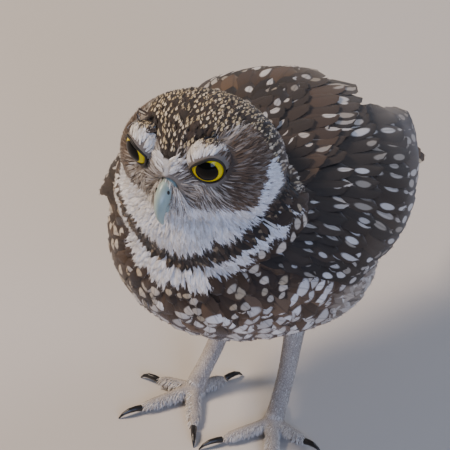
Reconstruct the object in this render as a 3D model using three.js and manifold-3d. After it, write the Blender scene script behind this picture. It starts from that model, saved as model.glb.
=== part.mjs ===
// Burrowing owl, life size, standing with its head turned down and slightly tilted.
// Millimetres, +Z up. The bird faces -Y and its left side is +X.
// Shapes are worked out with z = 0 on the ground and x = y = 0 between the feet, and the
// finished group is then moved so that its origin is the bottom centre of its box.
import * as THREE from 'three';
import { mergeVertices } from 'three/addons/utils/BufferGeometryUtils.js';
import Module from 'manifold-3d';

const wasm = await Module();
wasm.setup();

const DEG = Math.PI / 180;
const GAP = 0.35;

// Torso: an egg lying along Y, described by rings.
const TORSO = { front: -42, back: 84, fullness: 2.5, around: 24, along: 18 };
const TORSO_HALF_WIDTH = [[-42, 47], [-4, 49.6], [26, 48.6], [56, 40], [84, 29]];
const TORSO_UP = [[-42, 34], [-4, 38], [26, 39], [56, 34], [84, 23]];
const TORSO_DOWN = [[-42, 37], [-4, 42], [26, 43], [56, 34], [84, 20]];
const TORSO_CENTRE_Z = [[-42, 91.5], [56, 91], [84, 89.5]];
// Flank: where the loose feathers below the wing swell out, as an angle below level and a y.
const FLANK = { turn: -36 * DEG, spread: 15 * DEG, y: 26, reach: 30, out: 6.5 };

// Head: an egg with a flattened face, set on the collar.
const HEAD = {
  centre: [0, -18, 138.5],
  half: [33, 27.5, 25.5],
  roll: 7 * DEG,
  pitch: 4 * DEG,
  around: 28,
  along: 20,
};
// Face: pressed flat in front, with a ridge between the eyes, sockets and full cheeks.
const FACE = { from: 0.25, to: 0.75, flat: 4.2, ridge: 0.55, ridgeWidth: 6 };
const SOCKET = { deep: 2.4, width: 8 };
const CHEEK = { at: [24, -8], out: 1.6, width: 9, tall: 1.4 };
const EYE = { x: 13.8, y: -12.6, z: 11.6, radius: 7.6, turn: 24 * DEG, around: 16, along: 10 };
const LID = {
  ring: 6.5, tube: 1.1, forward: 4.5, around: 16, sides: 6,
  shell: 1.0, upperTilt: 13 * DEG, upperDrop: 3.6, knife: [30, 20, 30],
};
const BROW = { lift: 2.4, inner: [3, 12], outer: [21, 18.5], width: 3.4, fade: 0.5 };

// Bill: centre lines from its base, with half widths and half depths along them.
const BILL = {
  base: [0, -23, 5],
  upper: [[0, 3, -2.8], [0, -1.2, -3.7], [0, -4.6, -6.4], [0, -6.4, -10.6], [0, -5.9, -15.2]],
  upperWide: [[0, 3.4], [0.3, 3.2], [0.6, 2.4], [0.85, 1.3], [1, 0.4]],
  upperDeep: [[0, 4.0], [0.3, 3.9], [0.6, 3.0], [0.85, 1.6], [1, 0.45]],
  lower: [[0, 3, -7.6], [0, -0.3, -8.8], [0, -2.8, -11.6]],
  lowerWide: [[0, 2.9], [0.6, 2.4], [1, 1.0]],
  lowerDeep: [[0, 2.0], [0.6, 1.6], [1, 0.7]],
};
const NOSTRIL = { radius: 0.95, stretch: [0.7, 1, 1.2], at: [2.9, -2.8, -2.4] };

const COLLAR = { centre: [0, -10, 115], half: [40, 32, 26], around: 22, along: 12 };

// Mantle: the surface that the folded wings lie on, just outside the torso.
const MANTLE_A = [
  [-30, 35], [-14, 46], [6, 51], [21, 51.2], [46, 49], [71, 39], [91, 27], [114, 13],
];
const MANTLE_B = [
  [-30, 22], [-14, 32], [6, 37.3], [21, 38.6], [46, 36], [71, 28], [91, 18], [114, 9],
];
const MANTLE_Z = [[-34, 95.5], [-4, 94], [46, 93.5], [71, 90.5], [91, 84.5], [114, 75.5]];

const WING = {
  from: -26,
  to: 74,
  top: [[-26, 24], [-10, 44], [16, 60], [51, 71], [74, 66]],
  bottom: [[-26, 2], [-10, -6], [16, -13], [51, -8], [74, 22]],
  under: -2.6,
  over: 0.9,
  thick: 0.8,
};
const VANE = { sink: -0.6, lift: 2.7, cant: 1.2, camber: 0.5, thick: 0.65, rake: 0.2 };
// Tiers of the folded wing. Each row runs from the lower edge of the wing to the back.
const TIERS = [
  { count: 6, from: [[30, -8], [24, 8]], to: [[100, 44], [82, 16]], half: 7.2 },
  { count: 6, from: [[20, 0], [18, 60]], to: [[72, 10], [82, 74]], half: 8.2 },
  { count: 6, from: [[-2, 0], [-4, 56]], to: [[32, -8], [36, 66]], half: 8 },
  { count: 5, from: [[-18, 8], [-16, 42]], to: [[8, -2], [10, 56]], half: 7.5 },
];

// Tail: a narrow fan; the middle feathers lie highest and each side steps down.
const TAIL = {
  root: [0, 66, 85.5], length: 64, half: 9 * DEG, drop: 24 * DEG, vanes: 10,
  vaneHalf: 7.2, pitch: 1.1, rise: 2.4, step: 0.55, shorter: 0.05, sag: 0.012,
  fromRise: 0.35, over: 0.35, under: -0.3,
};
const TAIL_CORE = { half: [13, 30, 5.5], back: 16, down: 9, around: 18, along: 12 };

const STANCE = 18.4;
const STANCE_Y = 4;
const ANKLE = { x: 14.5, y: 27, z: 38.5 };
const FOOT = { radius: 4.6, flat: 0.82, z: 3.2, top: 5.2, back: 1.5 };
// Limbs: the points of a centre line, and half thicknesses along it.
const THIGH = {
  path: [[15, 6, 64], [15.5, 20, 53], [ANKLE.x, ANKLE.y + 3, ANKLE.z - 1]],
  size: [[0, 13], [0.45, 12.5], [0.8, 8.8], [0.94, 6.8], [1, 3.0]],
  sides: 14,
  steps: 8,
};
const SHANK = {
  path: [
    [ANKLE.x, ANKLE.y, ANKLE.z + 1], [16.25, 17.5, 19.5],
    [STANCE, STANCE_Y + FOOT.back, FOOT.top],
  ],
  size: [[0, 4.6], [0.25, 3.9], [0.8, 3.5], [1, 3.9]],
  sides: 10,
  steps: 7,
};
// Toes and claws: how high their centre lines run, from 0 to 1 along, and half thicknesses.
const TOE = {
  sides: 8, steps: 5,
  start: 0.5,
  height: [[0, 3.4], [0.3, 3.0], [0.75, 2.05], [1, 1.9]],
  size: [[0, 2.9], [0.35, 2.45], [0.6, 2.6], [0.85, 2.25], [1, 1.5]],
};
const CLAW = {
  sides: 7, steps: 4,
  height: [[0, 1.95], [0.35, 2.5], [0.72, 2.1], [1, 0.12]],
  size: [[0, 1.35], [0.5, 1.05], [0.85, 0.55], [1, 0.25]],
};
// Each toe: direction from straight ahead, positive towards the outside, and its length.
const TOES = [
  { name: 'inner', angle: -33, length: 21, claw: 10 },
  { name: 'middle', angle: 31, length: 22, claw: 10 },
  { name: 'outer', angle: 84, length: 15, claw: 8 },
  { name: 'hind', angle: -156, length: 14, claw: 8 },
];

// Colours of the solids, seen from a step away.
const COLOUR = {
  brown: 0x5a4a3e, dark: 0x453930, cream: 0xd8d2c8, belly: 0xb5aba0, bill: 0x9fb3ac,
  eye: 0xd8c21c, leg: 0xbab5b2, toe: 0xa29c98, claw: 0x26221f,
};
const ROUGH = { down: 0.9, vane: 0.85, bill: 0.4, eye: 0.1, leg: 0.8, toe: 0.7, claw: 0.35 };

const v3 = (x, y, z) => new THREE.Vector3(x, y, z);

/** A smooth function through [place, value] pairs, level beyond both ends. */
function profile(keys) {
  const slope = keys.map((k, i) => {
    const a = keys[Math.max(i - 1, 0)];
    const b = keys[Math.min(i + 1, keys.length - 1)];
    return (b[1] - a[1]) / (b[0] - a[0]);
  });
  return (x) => {
    if (x <= keys[0][0]) return keys[0][1];
    const last = keys.length - 1;
    if (x >= keys[last][0]) return keys[last][1];
    let i = 0;
    while (x > keys[i + 1][0]) i += 1;
    const span = keys[i + 1][0] - keys[i][0];
    const t = (x - keys[i][0]) / span;
    const s = 1 - t;
    return s * s * (1 + 2 * t) * keys[i][1] + t * t * (3 - 2 * t) * keys[i + 1][1]
      + span * t * s * (s * slope[i] - t * slope[i + 1]);
  };
}

/** A closed geometry's shared vertices merged, as a solid that can be cut and joined. */
function solid(geometry) {
  const bare = geometry.clone();
  bare.deleteAttribute('normal');
  bare.deleteAttribute('uv');
  const merged = mergeVertices(bare, 1e-4);
  return new wasm.Manifold(new wasm.Mesh({
    numProp: 3,
    vertProperties: Float32Array.from(merged.attributes.position.array),
    triVerts: Uint32Array.from(merged.index.array),
  }));
}

/** Moves every vertex of a geometry by a function of its place. */
function reshape(geometry, map) {
  const p = geometry.attributes.position;
  for (let i = 0; i < p.count; i += 1) {
    const q = map(v3(p.getX(i), p.getY(i), p.getZ(i)));
    p.setXYZ(i, q.x, q.y, q.z);
  }
  return geometry;
}

/** The largest closed surface of a solid. */
function largest(body) {
  const pieces = body.decompose();
  return pieces.reduce((a, b) => (b.volume() > a.volume() ? b : a));
}

/** A solid's surface as a geometry. */
function surface(body) {
  const mesh = body.getMesh();
  const geometry = new THREE.BufferGeometry();
  const points = new Float32Array((mesh.vertProperties.length / mesh.numProp) * 3);
  for (let i = 0; i < points.length / 3; i += 1) {
    for (let k = 0; k < 3; k += 1) points[3 * i + k] = mesh.vertProperties[mesh.numProp * i + k];
  }
  geometry.setAttribute('position', new THREE.BufferAttribute(points, 3));
  geometry.setIndex(new THREE.BufferAttribute(Uint32Array.from(mesh.triVerts), 1));
  return geometry;
}

/** The same geometry on the other side of the bird. */
function mirrored(geometry) {
  const twin = geometry.clone();
  twin.scale(-1, 1, 1);
  const index = twin.index.array;
  for (let i = 0; i < index.length; i += 3) {
    [index[i], index[i + 1]] = [index[i + 1], index[i]];
  }
  return twin;
}

const union = (bodies) => bodies.reduce((a, b) => a.add(b));
const bump = (x, width) => Math.exp(-((x / width) ** 2));
/** A smooth curve through points given as arrays, moved by a step. */
const through = (points, step = [0, 0, 0]) => new THREE.CatmullRomCurve3(
  points.map((p) => v3(...p.map((value, i) => value + step[i]))),
);

/**
 * A round-ended body of rings along Y. ring(y) gives half width, up, down, centre height and
 * swell(turn), which is what the ring gains at an angle above level.
 */
function rings(from, to, fullness, around, along, ring) {
  const mid = (from + to) / 2;
  const reach = (to - from) / 2;
  const ball = new THREE.SphereGeometry(1, around, along).rotateX(Math.PI / 2);
  return reshape(ball, (p) => {
    const s = THREE.MathUtils.clamp(p.y, -1, 1);
    const y = mid + reach * s;
    const turn = Math.hypot(p.x, p.z);
    const full = (1 - Math.abs(s) ** fullness) ** (1 / fullness);
    const cx = turn < 1e-9 ? 0 : p.x / turn;
    const cz = turn < 1e-9 ? 0 : p.z / turn;
    const r = ring(y);
    const swell = r.swell(Math.atan2(cz, Math.abs(cx)));
    const tall = cz > 0 ? r.up : r.down;
    return v3(cx * (r.half + swell) * full, y, r.z + cz * (tall + swell) * full);
  });
}

const torsoHalf = profile(TORSO_HALF_WIDTH);
const torsoUp = profile(TORSO_UP);
const torsoDown = profile(TORSO_DOWN);
const torsoZ = profile(TORSO_CENTRE_Z);

function torsoShape(grow) {
  const ring = (y) => ({
    half: torsoHalf(y) + grow,
    up: torsoUp(y) + grow,
    down: torsoDown(y) + grow,
    z: torsoZ(y),
    swell: (turn) => (
      FLANK.out * bump(y - FLANK.y, FLANK.reach) * bump(turn - FLANK.turn, FLANK.spread)
    ),
  });
  return solid(rings(
    TORSO.front - grow, TORSO.back + grow, TORSO.fullness, TORSO.around, TORSO.along, ring,
  ));
}

/** Turns a point of the head's own frame into the bird's frame. */
const headMatrix = new THREE.Matrix4().multiplyMatrices(
  new THREE.Matrix4().makeTranslation(...HEAD.centre),
  new THREE.Matrix4().multiplyMatrices(
    new THREE.Matrix4().makeRotationY(-HEAD.roll),
    new THREE.Matrix4().makeRotationX(HEAD.pitch),
  ),
);

/** Distance of (x, z) from the slanted line of a brow, and how far along it is, 0 to 1. */
function browPlace(x, z) {
  const [ix, iz] = BROW.inner;
  const [ox, oz] = BROW.outer;
  const dx = ox - ix;
  const dz = oz - iz;
  const t = THREE.MathUtils.clamp(((x - ix) * dx + (z - iz) * dz) / (dx * dx + dz * dz), 0, 1);
  return { off: Math.hypot(x - ix - t * dx, z - iz - t * dz), along: t };
}

function headPoint(p, grow) {
  const [a, b, c] = HEAD.half;
  let { x, y, z } = v3(p.x * (a + grow), p.y * (b + grow), p.z * (c + grow));
  const front = THREE.MathUtils.smoothstep(-p.y, FACE.from, FACE.to);
  const side = Math.abs(x);
  y += front * FACE.flat * (1 - FACE.ridge * bump(x, FACE.ridgeWidth));
  y += front * SOCKET.deep * bump(Math.hypot(side - EYE.x, z - EYE.z), SOCKET.width);
  const brow = browPlace(side, z);
  y -= front * BROW.lift * bump(brow.off, BROW.width) * (1 - BROW.fade * brow.along);
  const cheek = Math.hypot(side - CHEEK.at[0], (z - CHEEK.at[1]) / CHEEK.tall);
  x += Math.sign(x) * CHEEK.out * bump(cheek, CHEEK.width);
  return v3(x, y, z);
}

function headShape(grow) {
  const ball = new THREE.SphereGeometry(1, HEAD.around, HEAD.along);
  reshape(ball, (p) => headPoint(v3(p.x, p.z, p.y), grow));
  const index = ball.index.array;
  for (let i = 0; i < index.length; i += 3) {
    [index[i], index[i + 1]] = [index[i + 1], index[i]];
  }
  ball.applyMatrix4(headMatrix);
  return solid(ball);
}

/** The frame of an eye in the head: +Z of the eye looks out of the socket. */
function eyeMatrix(side) {
  const out = v3(side * Math.sin(EYE.turn), -Math.cos(EYE.turn), 0);
  const across = v3(Math.cos(EYE.turn), side * Math.sin(EYE.turn), 0);
  const basis = new THREE.Matrix4().makeBasis(across, v3(0, 0, 1), out);
  basis.setPosition(side * EYE.x, EYE.y, EYE.z);
  return new THREE.Matrix4().multiplyMatrices(headMatrix, basis);
}

function eyeBall(side, grow) {
  const ball = new THREE.SphereGeometry(EYE.radius + grow, EYE.around, EYE.along);
  ball.applyMatrix4(eyeMatrix(side));
  return solid(ball);
}

/** Lids: a ring round the opening and an upper lid that slants down towards the bill. */
function lids(side) {
  const ring = new THREE.TorusGeometry(LID.ring, LID.tube, LID.sides, LID.around);
  ring.translate(0, 0, LID.forward);
  ring.applyMatrix4(eyeMatrix(side));
  const shell = new THREE.SphereGeometry(EYE.radius + LID.shell, EYE.around, EYE.along);
  const knife = new THREE.BoxGeometry(...LID.knife);
  knife.translate(0, LID.knife[1] / 2 + LID.upperDrop, 0);
  knife.rotateZ(LID.upperTilt * side);
  shell.applyMatrix4(eyeMatrix(side));
  knife.applyMatrix4(eyeMatrix(side));
  return solid(ring).add(solid(shell).intersect(solid(knife)));
}

function headWithLids() {
  let head = headShape(0);
  for (const side of [1, -1]) head = head.add(lids(side));
  for (const side of [1, -1]) head = head.subtract(eyeBall(side, GAP));
  return head.subtract(upperBill(GAP)).subtract(lowerBill(GAP));
}

/** A tapered tube along a curve, oval in section; sizes are functions of 0 to 1. */
function sweep(curve, sides, steps, width, depth, side) {
  const tube = new THREE.CylinderGeometry(1, 1, 1, sides, steps);
  return reshape(tube, (p) => {
    const t = p.y + 0.5;
    const at = curve.getPoint(t);
    const ahead = curve.getTangent(t);
    const across = side.clone().addScaledVector(ahead, -side.dot(ahead)).normalize();
    const up = across.clone().cross(ahead);
    return at.addScaledVector(across, p.x * width(t)).addScaledVector(up, p.z * depth(t));
  });
}

/** One half of the bill along its centre line. */
function mandible(path, wide, deep, sides, steps, grow) {
  const width = profile(wide);
  const depth = profile(deep);
  return solid(sweep(
    through(path, BILL.base), sides, steps,
    (t) => width(t) + grow, (t) => depth(t) + grow, v3(1, 0, 0),
  ).applyMatrix4(headMatrix));
}

const upperBill = (grow) => mandible(BILL.upper, BILL.upperWide, BILL.upperDeep, 12, 10, grow);
const lowerBill = (grow) => mandible(BILL.lower, BILL.lowerWide, BILL.lowerDeep, 10, 6, grow);

function billUpper() {
  let bill = upperBill(0);
  for (const side of [1, -1]) {
    const nostril = new THREE.SphereGeometry(NOSTRIL.radius, 10, 8);
    nostril.scale(...NOSTRIL.stretch);
    nostril.translate(
      side * NOSTRIL.at[0], BILL.base[1] + NOSTRIL.at[1], BILL.base[2] + NOSTRIL.at[2],
    );
    nostril.applyMatrix4(headMatrix);
    bill = bill.subtract(solid(nostril));
  }
  return largest(bill);
}

function billLower() {
  return largest(lowerBill(0).subtract(upperBill(GAP)));
}

function collarShape(grow) {
  const [a, b, c] = COLLAR.half;
  const ball = new THREE.SphereGeometry(1, COLLAR.around, COLLAR.along);
  ball.rotateX(Math.PI / 2);
  ball.scale(a + grow, b + grow, c + grow);
  ball.translate(...COLLAR.centre);
  return solid(ball);
}

const mantleA = profile(MANTLE_A);
const mantleB = profile(MANTLE_B);
const mantleZ = profile(MANTLE_Z);

/** A point on the left of the mantle at height h above it; turn is the angle above level. */
function mantle(y, turn, h) {
  const t = turn * DEG;
  return v3((mantleA(y) + h) * Math.cos(t), y, mantleZ(y) + (mantleB(y) + h) * Math.sin(t));
}

/** A closed plate: place(a, l, top) gives a corner for a across -1 to 1 and l along 0 to 1. */
function plate(across, along, place) {
  const grid = new THREE.PlaneGeometry(2, 1, across, along);
  const p = grid.attributes.position;
  const count = p.count;
  const points = new Float32Array(count * 6);
  for (let i = 0; i < count; i += 1) {
    const a = p.getX(i);
    const l = p.getY(i) + 0.5;
    place(a, l, true).toArray(points, 3 * i);
    place(a, l, false).toArray(points, 3 * (count + i));
  }
  const top = Array.from(grid.index.array);
  const index = [...top];
  for (let i = 0; i < top.length; i += 3) {
    index.push(top[i + 1] + count, top[i] + count, top[i + 2] + count);
  }
  const edge = [];
  const row = across + 1;
  for (let i = 0; i < across; i += 1) edge.push([i + 1, i]);
  for (let j = 0; j < along; j += 1) edge.push([j * row, (j + 1) * row]);
  for (let i = 0; i < across; i += 1) edge.push([along * row + i, along * row + i + 1]);
  for (let j = along; j > 0; j -= 1) edge.push([j * row + across, (j - 1) * row + across]);
  for (const [m, n] of edge) index.push(m, m + count, n, n, m + count, n + count);
  const geometry = new THREE.BufferGeometry();
  geometry.setAttribute('position', new THREE.BufferAttribute(points, 3));
  geometry.setIndex(index);
  return geometry;
}

/** Outline of a vane's half width along its length, from root to round tip. */
const vaneOutline = profile([[0, 0.5], [0.25, 0.85], [0.6, 1], [0.88, 0.82], [1, 0.3]]);

/** A vane on the mantle from one (y, turn) to another: its root is sunk, its tip lifts clear. */
function wingVane({ from, to, half }) {
  return plate(2, 3, (a, l, top) => {
    const y = from[0] + (to[0] - from[0]) * l;
    const turn = from[1] + (to[1] - from[1]) * l;
    const w = half * vaneOutline(l);
    const perDegree = DEG * (mantleA(y) + mantleB(y)) / 2;
    const camber = VANE.camber * (1 - a * a);
    const lift = VANE.sink + (VANE.lift - VANE.sink) * l;
    const h = lift + camber + VANE.cant * a * l * (w / half) + (top ? VANE.thick : 0);
    return mantle(y - VANE.rake * w * Math.abs(a) * l, turn - (a * w) / perDegree, h);
  });
}

function wingPad() {
  const top = profile(WING.top);
  const bottom = profile(WING.bottom);
  return solid(plate(8, 10, (a, l, upper) => {
    const y = WING.from + (WING.to - WING.from) * l;
    const turn = top(y) + (bottom(y) - top(y)) * (a + 1) / 2;
    const edge = Math.sqrt(Math.max(0, 1 - a ** 4) * Math.max(0, 1 - (2 * l - 1) ** 6));
    return mantle(y, turn, upper ? WING.over + WING.thick * edge : WING.under);
  }));
}

function wingVanes() {
  const vanes = [];
  TIERS.forEach((tier) => {
    for (let i = 0; i < tier.count; i += 1) {
      const t = i / (tier.count - 1);
      const mix = (pair) => [0, 1].map((k) => pair[0][k] + (pair[1][k] - pair[0][k]) * t);
      vanes.push(wingVane({
        from: mix(tier.from), to: mix(tier.to), half: tier.half,
      }));
    }
  });
  return vanes;
}

/** One tail vane by its number; vanes nearer the middle lie above the outer ones. */
function tailVane(i) {
  const middle = (TAIL.vanes - 1) / 2;
  const off = i - middle;
  const spread = Math.abs(off) / middle;
  const fan = (off / middle) * TAIL.half;
  const rise = TAIL.rise * (1 - spread) + (off > 0 ? TAIL.step : 0);
  const length = TAIL.length * (1 - TAIL.shorter * spread);
  return plate(2, 3, (a, l, top) => {
    const w = TAIL.vaneHalf * vaneOutline(l);
    const out = Math.sin(fan) * length * l + a * w * Math.cos(fan) + off * TAIL.pitch;
    const back = Math.cos(fan) * length * l;
    const level = rise * (TAIL.fromRise + (1 - TAIL.fromRise) * l);
    const h = level - TAIL.sag * out * out + (top ? TAIL.over : TAIL.under);
    return v3(
      TAIL.root[0] + out,
      TAIL.root[1] + back * Math.cos(TAIL.drop) + h * Math.sin(TAIL.drop),
      TAIL.root[2] - back * Math.sin(TAIL.drop) + h * Math.cos(TAIL.drop),
    );
  });
}

function tailShape() {
  const core = new THREE.SphereGeometry(1, TAIL_CORE.around, TAIL_CORE.along);
  core.scale(...TAIL_CORE.half);
  core.rotateX(-TAIL.drop);
  core.translate(TAIL.root[0], TAIL.root[1] + TAIL_CORE.back, TAIL.root[2] - TAIL_CORE.down);
  const vanes = Array.from({ length: TAIL.vanes }, (_, i) => solid(tailVane(i)));
  return union([solid(core), ...vanes]);
}

/** A limb of round section from its path and thicknesses. */
function limb({ path, size, sides, steps }, grow) {
  const half = profile(size);
  const thick = (t) => half(t) + grow;
  return solid(sweep(through(path), sides, steps, thick, thick, v3(1, 0, 0)));
}

/** Direction of a left toe on the ground. */
function toeHeading(toe) {
  const t = toe.angle * DEG;
  return v3(Math.sin(t), -Math.cos(t), 0);
}

/** A line from the foot's middle along a heading, with its height given from 0 to 1 along. */
function groundLine(out, start, length, height) {
  return new THREE.CatmullRomCurve3(height.map(([t, z]) => (
    v3(STANCE, STANCE_Y, z).addScaledVector(out, start + t * length)
  )));
}

/** All that is below the level that the bird stands on. */
function ground() {
  const slab = new THREE.BoxGeometry(120, 120, 10);
  slab.translate(0, 0, -5);
  return solid(slab);
}

function footShape() {
  const ball = new THREE.SphereGeometry(FOOT.radius, 12, 8);
  ball.scale(1, 1, FOOT.flat);
  ball.translate(STANCE, STANCE_Y, FOOT.z);
  const toes = TOES.map((toe) => {
    const out = toeHeading(toe);
    const curve = groundLine(out, TOE.start, toe.length - TOE.start, TOE.height);
    const size = profile(TOE.size);
    return solid(sweep(curve, TOE.sides, TOE.steps, size, size, v3(-out.y, out.x, 0)));
  });
  return union([solid(ball), ...toes]).subtract(ground()).subtract(limb(SHANK, GAP));
}

function clawShape(toe) {
  const out = toeHeading(toe);
  const curve = groundLine(out, toe.length + 2 * GAP, toe.claw, CLAW.height);
  const size = profile(CLAW.size);
  const claw = sweep(curve, CLAW.sides, CLAW.steps, size, size, v3(-out.y, out.x, 0));
  return largest(solid(claw).subtract(ground()));
}

const owl = new THREE.Group();

function add(name, geometry, colour, roughness) {
  const material = new THREE.MeshStandardMaterial({ color: colour, roughness, metalness: 0 });
  const mesh = new THREE.Mesh(geometry, material);
  mesh.name = name;
  owl.add(mesh);
}

/** Adds a left piece and its mirror image. */
function addPair(name, geometry, colour, roughness) {
  add(`${name}_left`, geometry, colour, roughness);
  add(`${name}_right`, mirrored(geometry), colour, roughness);
}

const torsoClear = torsoShape(GAP);
const headClear = headShape(GAP);
const torso = largest(torsoShape(0).subtract(headClear));
const collar = largest(collarShape(0).subtract(torsoClear).subtract(headClear));
add('torso', surface(torso), COLOUR.belly, ROUGH.down);
add('neck', surface(collar), COLOUR.cream, ROUGH.down);
add('head', surface(largest(headWithLids())), COLOUR.brown, ROUGH.down);
add('bill_upper', surface(billUpper()), COLOUR.bill, ROUGH.bill);
add('bill_lower', surface(billLower()), COLOUR.bill, ROUGH.bill);
add('eye_left', surface(eyeBall(1, 0)), COLOUR.eye, ROUGH.eye);
add('eye_right', surface(eyeBall(-1, 0)), COLOUR.eye, ROUGH.eye);

const collarClear = collarShape(GAP);
const wing = largest(
  union([wingPad(), ...wingVanes().map(solid)])
    .subtract(torsoClear).subtract(collarClear).subtract(headClear),
);
addPair('wing', surface(wing), COLOUR.dark, ROUGH.vane);
add('tail', surface(largest(tailShape().subtract(torsoClear))), COLOUR.dark, ROUGH.vane);

const thigh = largest(limb(THIGH, 0).subtract(torsoClear));
const shank = largest(limb(SHANK, 0).subtract(limb(THIGH, GAP)).subtract(torsoClear));
addPair('thigh', surface(thigh), COLOUR.cream, ROUGH.down);
addPair('shank', surface(shank), COLOUR.leg, ROUGH.leg);
addPair('foot', surface(largest(footShape())), COLOUR.toe, ROUGH.toe);
for (const toe of TOES) {
  addPair(`claw_${toe.name}`, surface(clawShape(toe)), COLOUR.claw, ROUGH.claw);
}

const box = new THREE.Box3().setFromObject(owl);
const centre = box.getCenter(new THREE.Vector3());
owl.position.set(-centre.x, -centre.y, -box.min.z);

export default owl;
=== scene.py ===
"""Burrowing owl, life size: plumage, eyes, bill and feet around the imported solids.

Sizes are in millimetres in the bird's own frame, with the beak towards -Y, the left side at +X
and the ground at z = 0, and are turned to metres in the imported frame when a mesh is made.
"""
import logging
import math
from dataclasses import dataclass, field, replace
from enum import Enum

import bmesh
import bpy
import numpy as np
from mathutils import Matrix, Vector
from mathutils.bvhtree import BVHTree


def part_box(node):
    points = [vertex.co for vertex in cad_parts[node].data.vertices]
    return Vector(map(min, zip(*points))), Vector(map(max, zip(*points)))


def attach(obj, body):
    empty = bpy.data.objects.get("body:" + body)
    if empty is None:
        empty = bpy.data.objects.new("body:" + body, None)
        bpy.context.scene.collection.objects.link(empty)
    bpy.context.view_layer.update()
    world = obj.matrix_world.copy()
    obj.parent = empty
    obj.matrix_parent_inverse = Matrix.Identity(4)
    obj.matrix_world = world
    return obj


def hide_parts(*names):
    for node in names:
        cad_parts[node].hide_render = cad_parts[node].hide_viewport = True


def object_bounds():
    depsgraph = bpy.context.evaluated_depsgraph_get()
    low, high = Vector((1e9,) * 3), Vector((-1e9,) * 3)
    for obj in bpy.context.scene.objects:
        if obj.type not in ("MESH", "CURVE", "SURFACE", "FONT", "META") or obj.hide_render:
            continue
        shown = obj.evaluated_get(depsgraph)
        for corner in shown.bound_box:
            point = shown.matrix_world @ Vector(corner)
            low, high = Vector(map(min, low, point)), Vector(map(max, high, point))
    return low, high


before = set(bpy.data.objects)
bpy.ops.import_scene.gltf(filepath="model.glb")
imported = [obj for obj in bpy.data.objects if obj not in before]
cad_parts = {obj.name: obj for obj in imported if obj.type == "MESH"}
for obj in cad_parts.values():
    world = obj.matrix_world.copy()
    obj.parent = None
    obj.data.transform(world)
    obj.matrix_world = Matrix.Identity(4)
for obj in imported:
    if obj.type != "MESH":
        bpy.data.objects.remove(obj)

CAD_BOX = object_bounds()
LOG = logging.getLogger("owl")
MM = 0.001
SEED = 20260
BAKE_PATCH = 0.003

# The head's place, size and turn, as the solids have them.
HEAD_CENTRE = np.array([0.0, -18.0, 138.5])
HEAD_HALF = np.array([33.0, 27.5, 25.5])
HEAD_ROLL = math.radians(7)
HEAD_PITCH = math.radians(4)
EYE_PLACE = np.array([13.8, -12.6, 11.6])
EYE_RADIUS = 7.6
EYE_TURN = math.radians(24)
LID_RING = 6.4
LID_DROOP = 1.5
BILL_BASE = np.array([0.0, -23.0, 5.0])

# The mantle: the surface that the folded wings lie on.
MANTLE_A = ((-30, 35), (-14, 46), (6, 51), (21, 51.2), (46, 49), (71, 39), (91, 27), (114, 13))
MANTLE_B = ((-30, 22), (-14, 32), (6, 37.3), (21, 38.6), (46, 36), (71, 28), (91, 18), (114, 9))
MANTLE_Z = ((-34, 95.5), (-4, 94), (46, 93.5), (71, 90.5), (91, 84.5), (114, 75.5))

TAIL_ROOT = np.array([0.0, 66.0, 85.5])
TAIL_DROP = math.radians(24)
TAIL_FAN = math.radians(9)
TAIL_LENGTH = 64.0

ORIGIN = np.zeros(3)
# What the brown pigment gains in red and loses in blue over the colour of its swatch.
WARMTH = np.array([1.1, 0.95, 0.8])


def srgb(code: str) -> tuple[float, float, float, float]:
    """Turns an sRGB hex colour into linear RGBA.

    Args:
        code: six hex digits, with or without a leading mark.

    Returns:
        Linear red, green, blue and an alpha of 1.
    """
    digits = code.lstrip("#")
    parts = [int(digits[i:i + 2], 16) / 255 for i in (0, 2, 4)]
    linear = [c / 12.92 if c <= 0.04045 else ((c + 0.055) / 1.055) ** 2.4 for c in parts]
    return linear[0], linear[1], linear[2], 1.0


def rgb(code: str) -> np.ndarray:
    """Gives a hex colour as a linear array of three numbers."""
    return np.array(srgb(code)[:3])


def profile(keys: tuple, x: np.ndarray) -> np.ndarray:
    """Follows a smooth curve through (place, value) pairs, level beyond both ends.

    Args:
        keys: the pairs, in order of place.
        x: the places asked for.

    Returns:
        The curve's value at each place.
    """
    place = np.array([k[0] for k in keys], float)
    value = np.array([k[1] for k in keys], float)
    before = np.maximum(np.arange(len(keys)) - 1, 0)
    after = np.minimum(np.arange(len(keys)) + 1, len(keys) - 1)
    slope = (value[after] - value[before]) / (place[after] - place[before])
    x = np.clip(np.asarray(x, float), place[0], place[-1])
    i = np.clip(np.searchsorted(place, x, side="right") - 1, 0, len(keys) - 2)
    span = place[i + 1] - place[i]
    t = (x - place[i]) / span
    s = 1 - t
    ends = s * s * (1 + 2 * t) * value[i] + t * t * (3 - 2 * t) * value[i + 1]
    return ends + span * t * s * (s * slope[i] - t * slope[i + 1])


def unit(v: np.ndarray) -> np.ndarray:
    """Scales vectors in the last axis to length one."""
    return v / np.maximum(np.linalg.norm(v, axis=-1, keepdims=True), 1e-9)


def smoothstep(x: np.ndarray, low: float, high: float) -> np.ndarray:
    """Eases from 0 at low to 1 at high."""
    t = np.clip((np.asarray(x, float) - low) / (high - low), 0, 1)
    return t * t * (3 - 2 * t)


def head_turn() -> np.ndarray:
    """Gives the head's rotation as a 3 by 3 matrix."""
    turn = Matrix.Rotation(-HEAD_ROLL, 3, "Y") @ Matrix.Rotation(HEAD_PITCH, 3, "X")
    return np.array(turn)


HEAD_TURN = head_turn()


def to_head(p: np.ndarray) -> np.ndarray:
    """Turns points of the bird's frame into the head's own frame."""
    return (p - HEAD_CENTRE) @ HEAD_TURN


def from_head(p: np.ndarray) -> np.ndarray:
    """Turns points of the head's own frame into the bird's frame."""
    return p @ HEAD_TURN.T + HEAD_CENTRE


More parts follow.
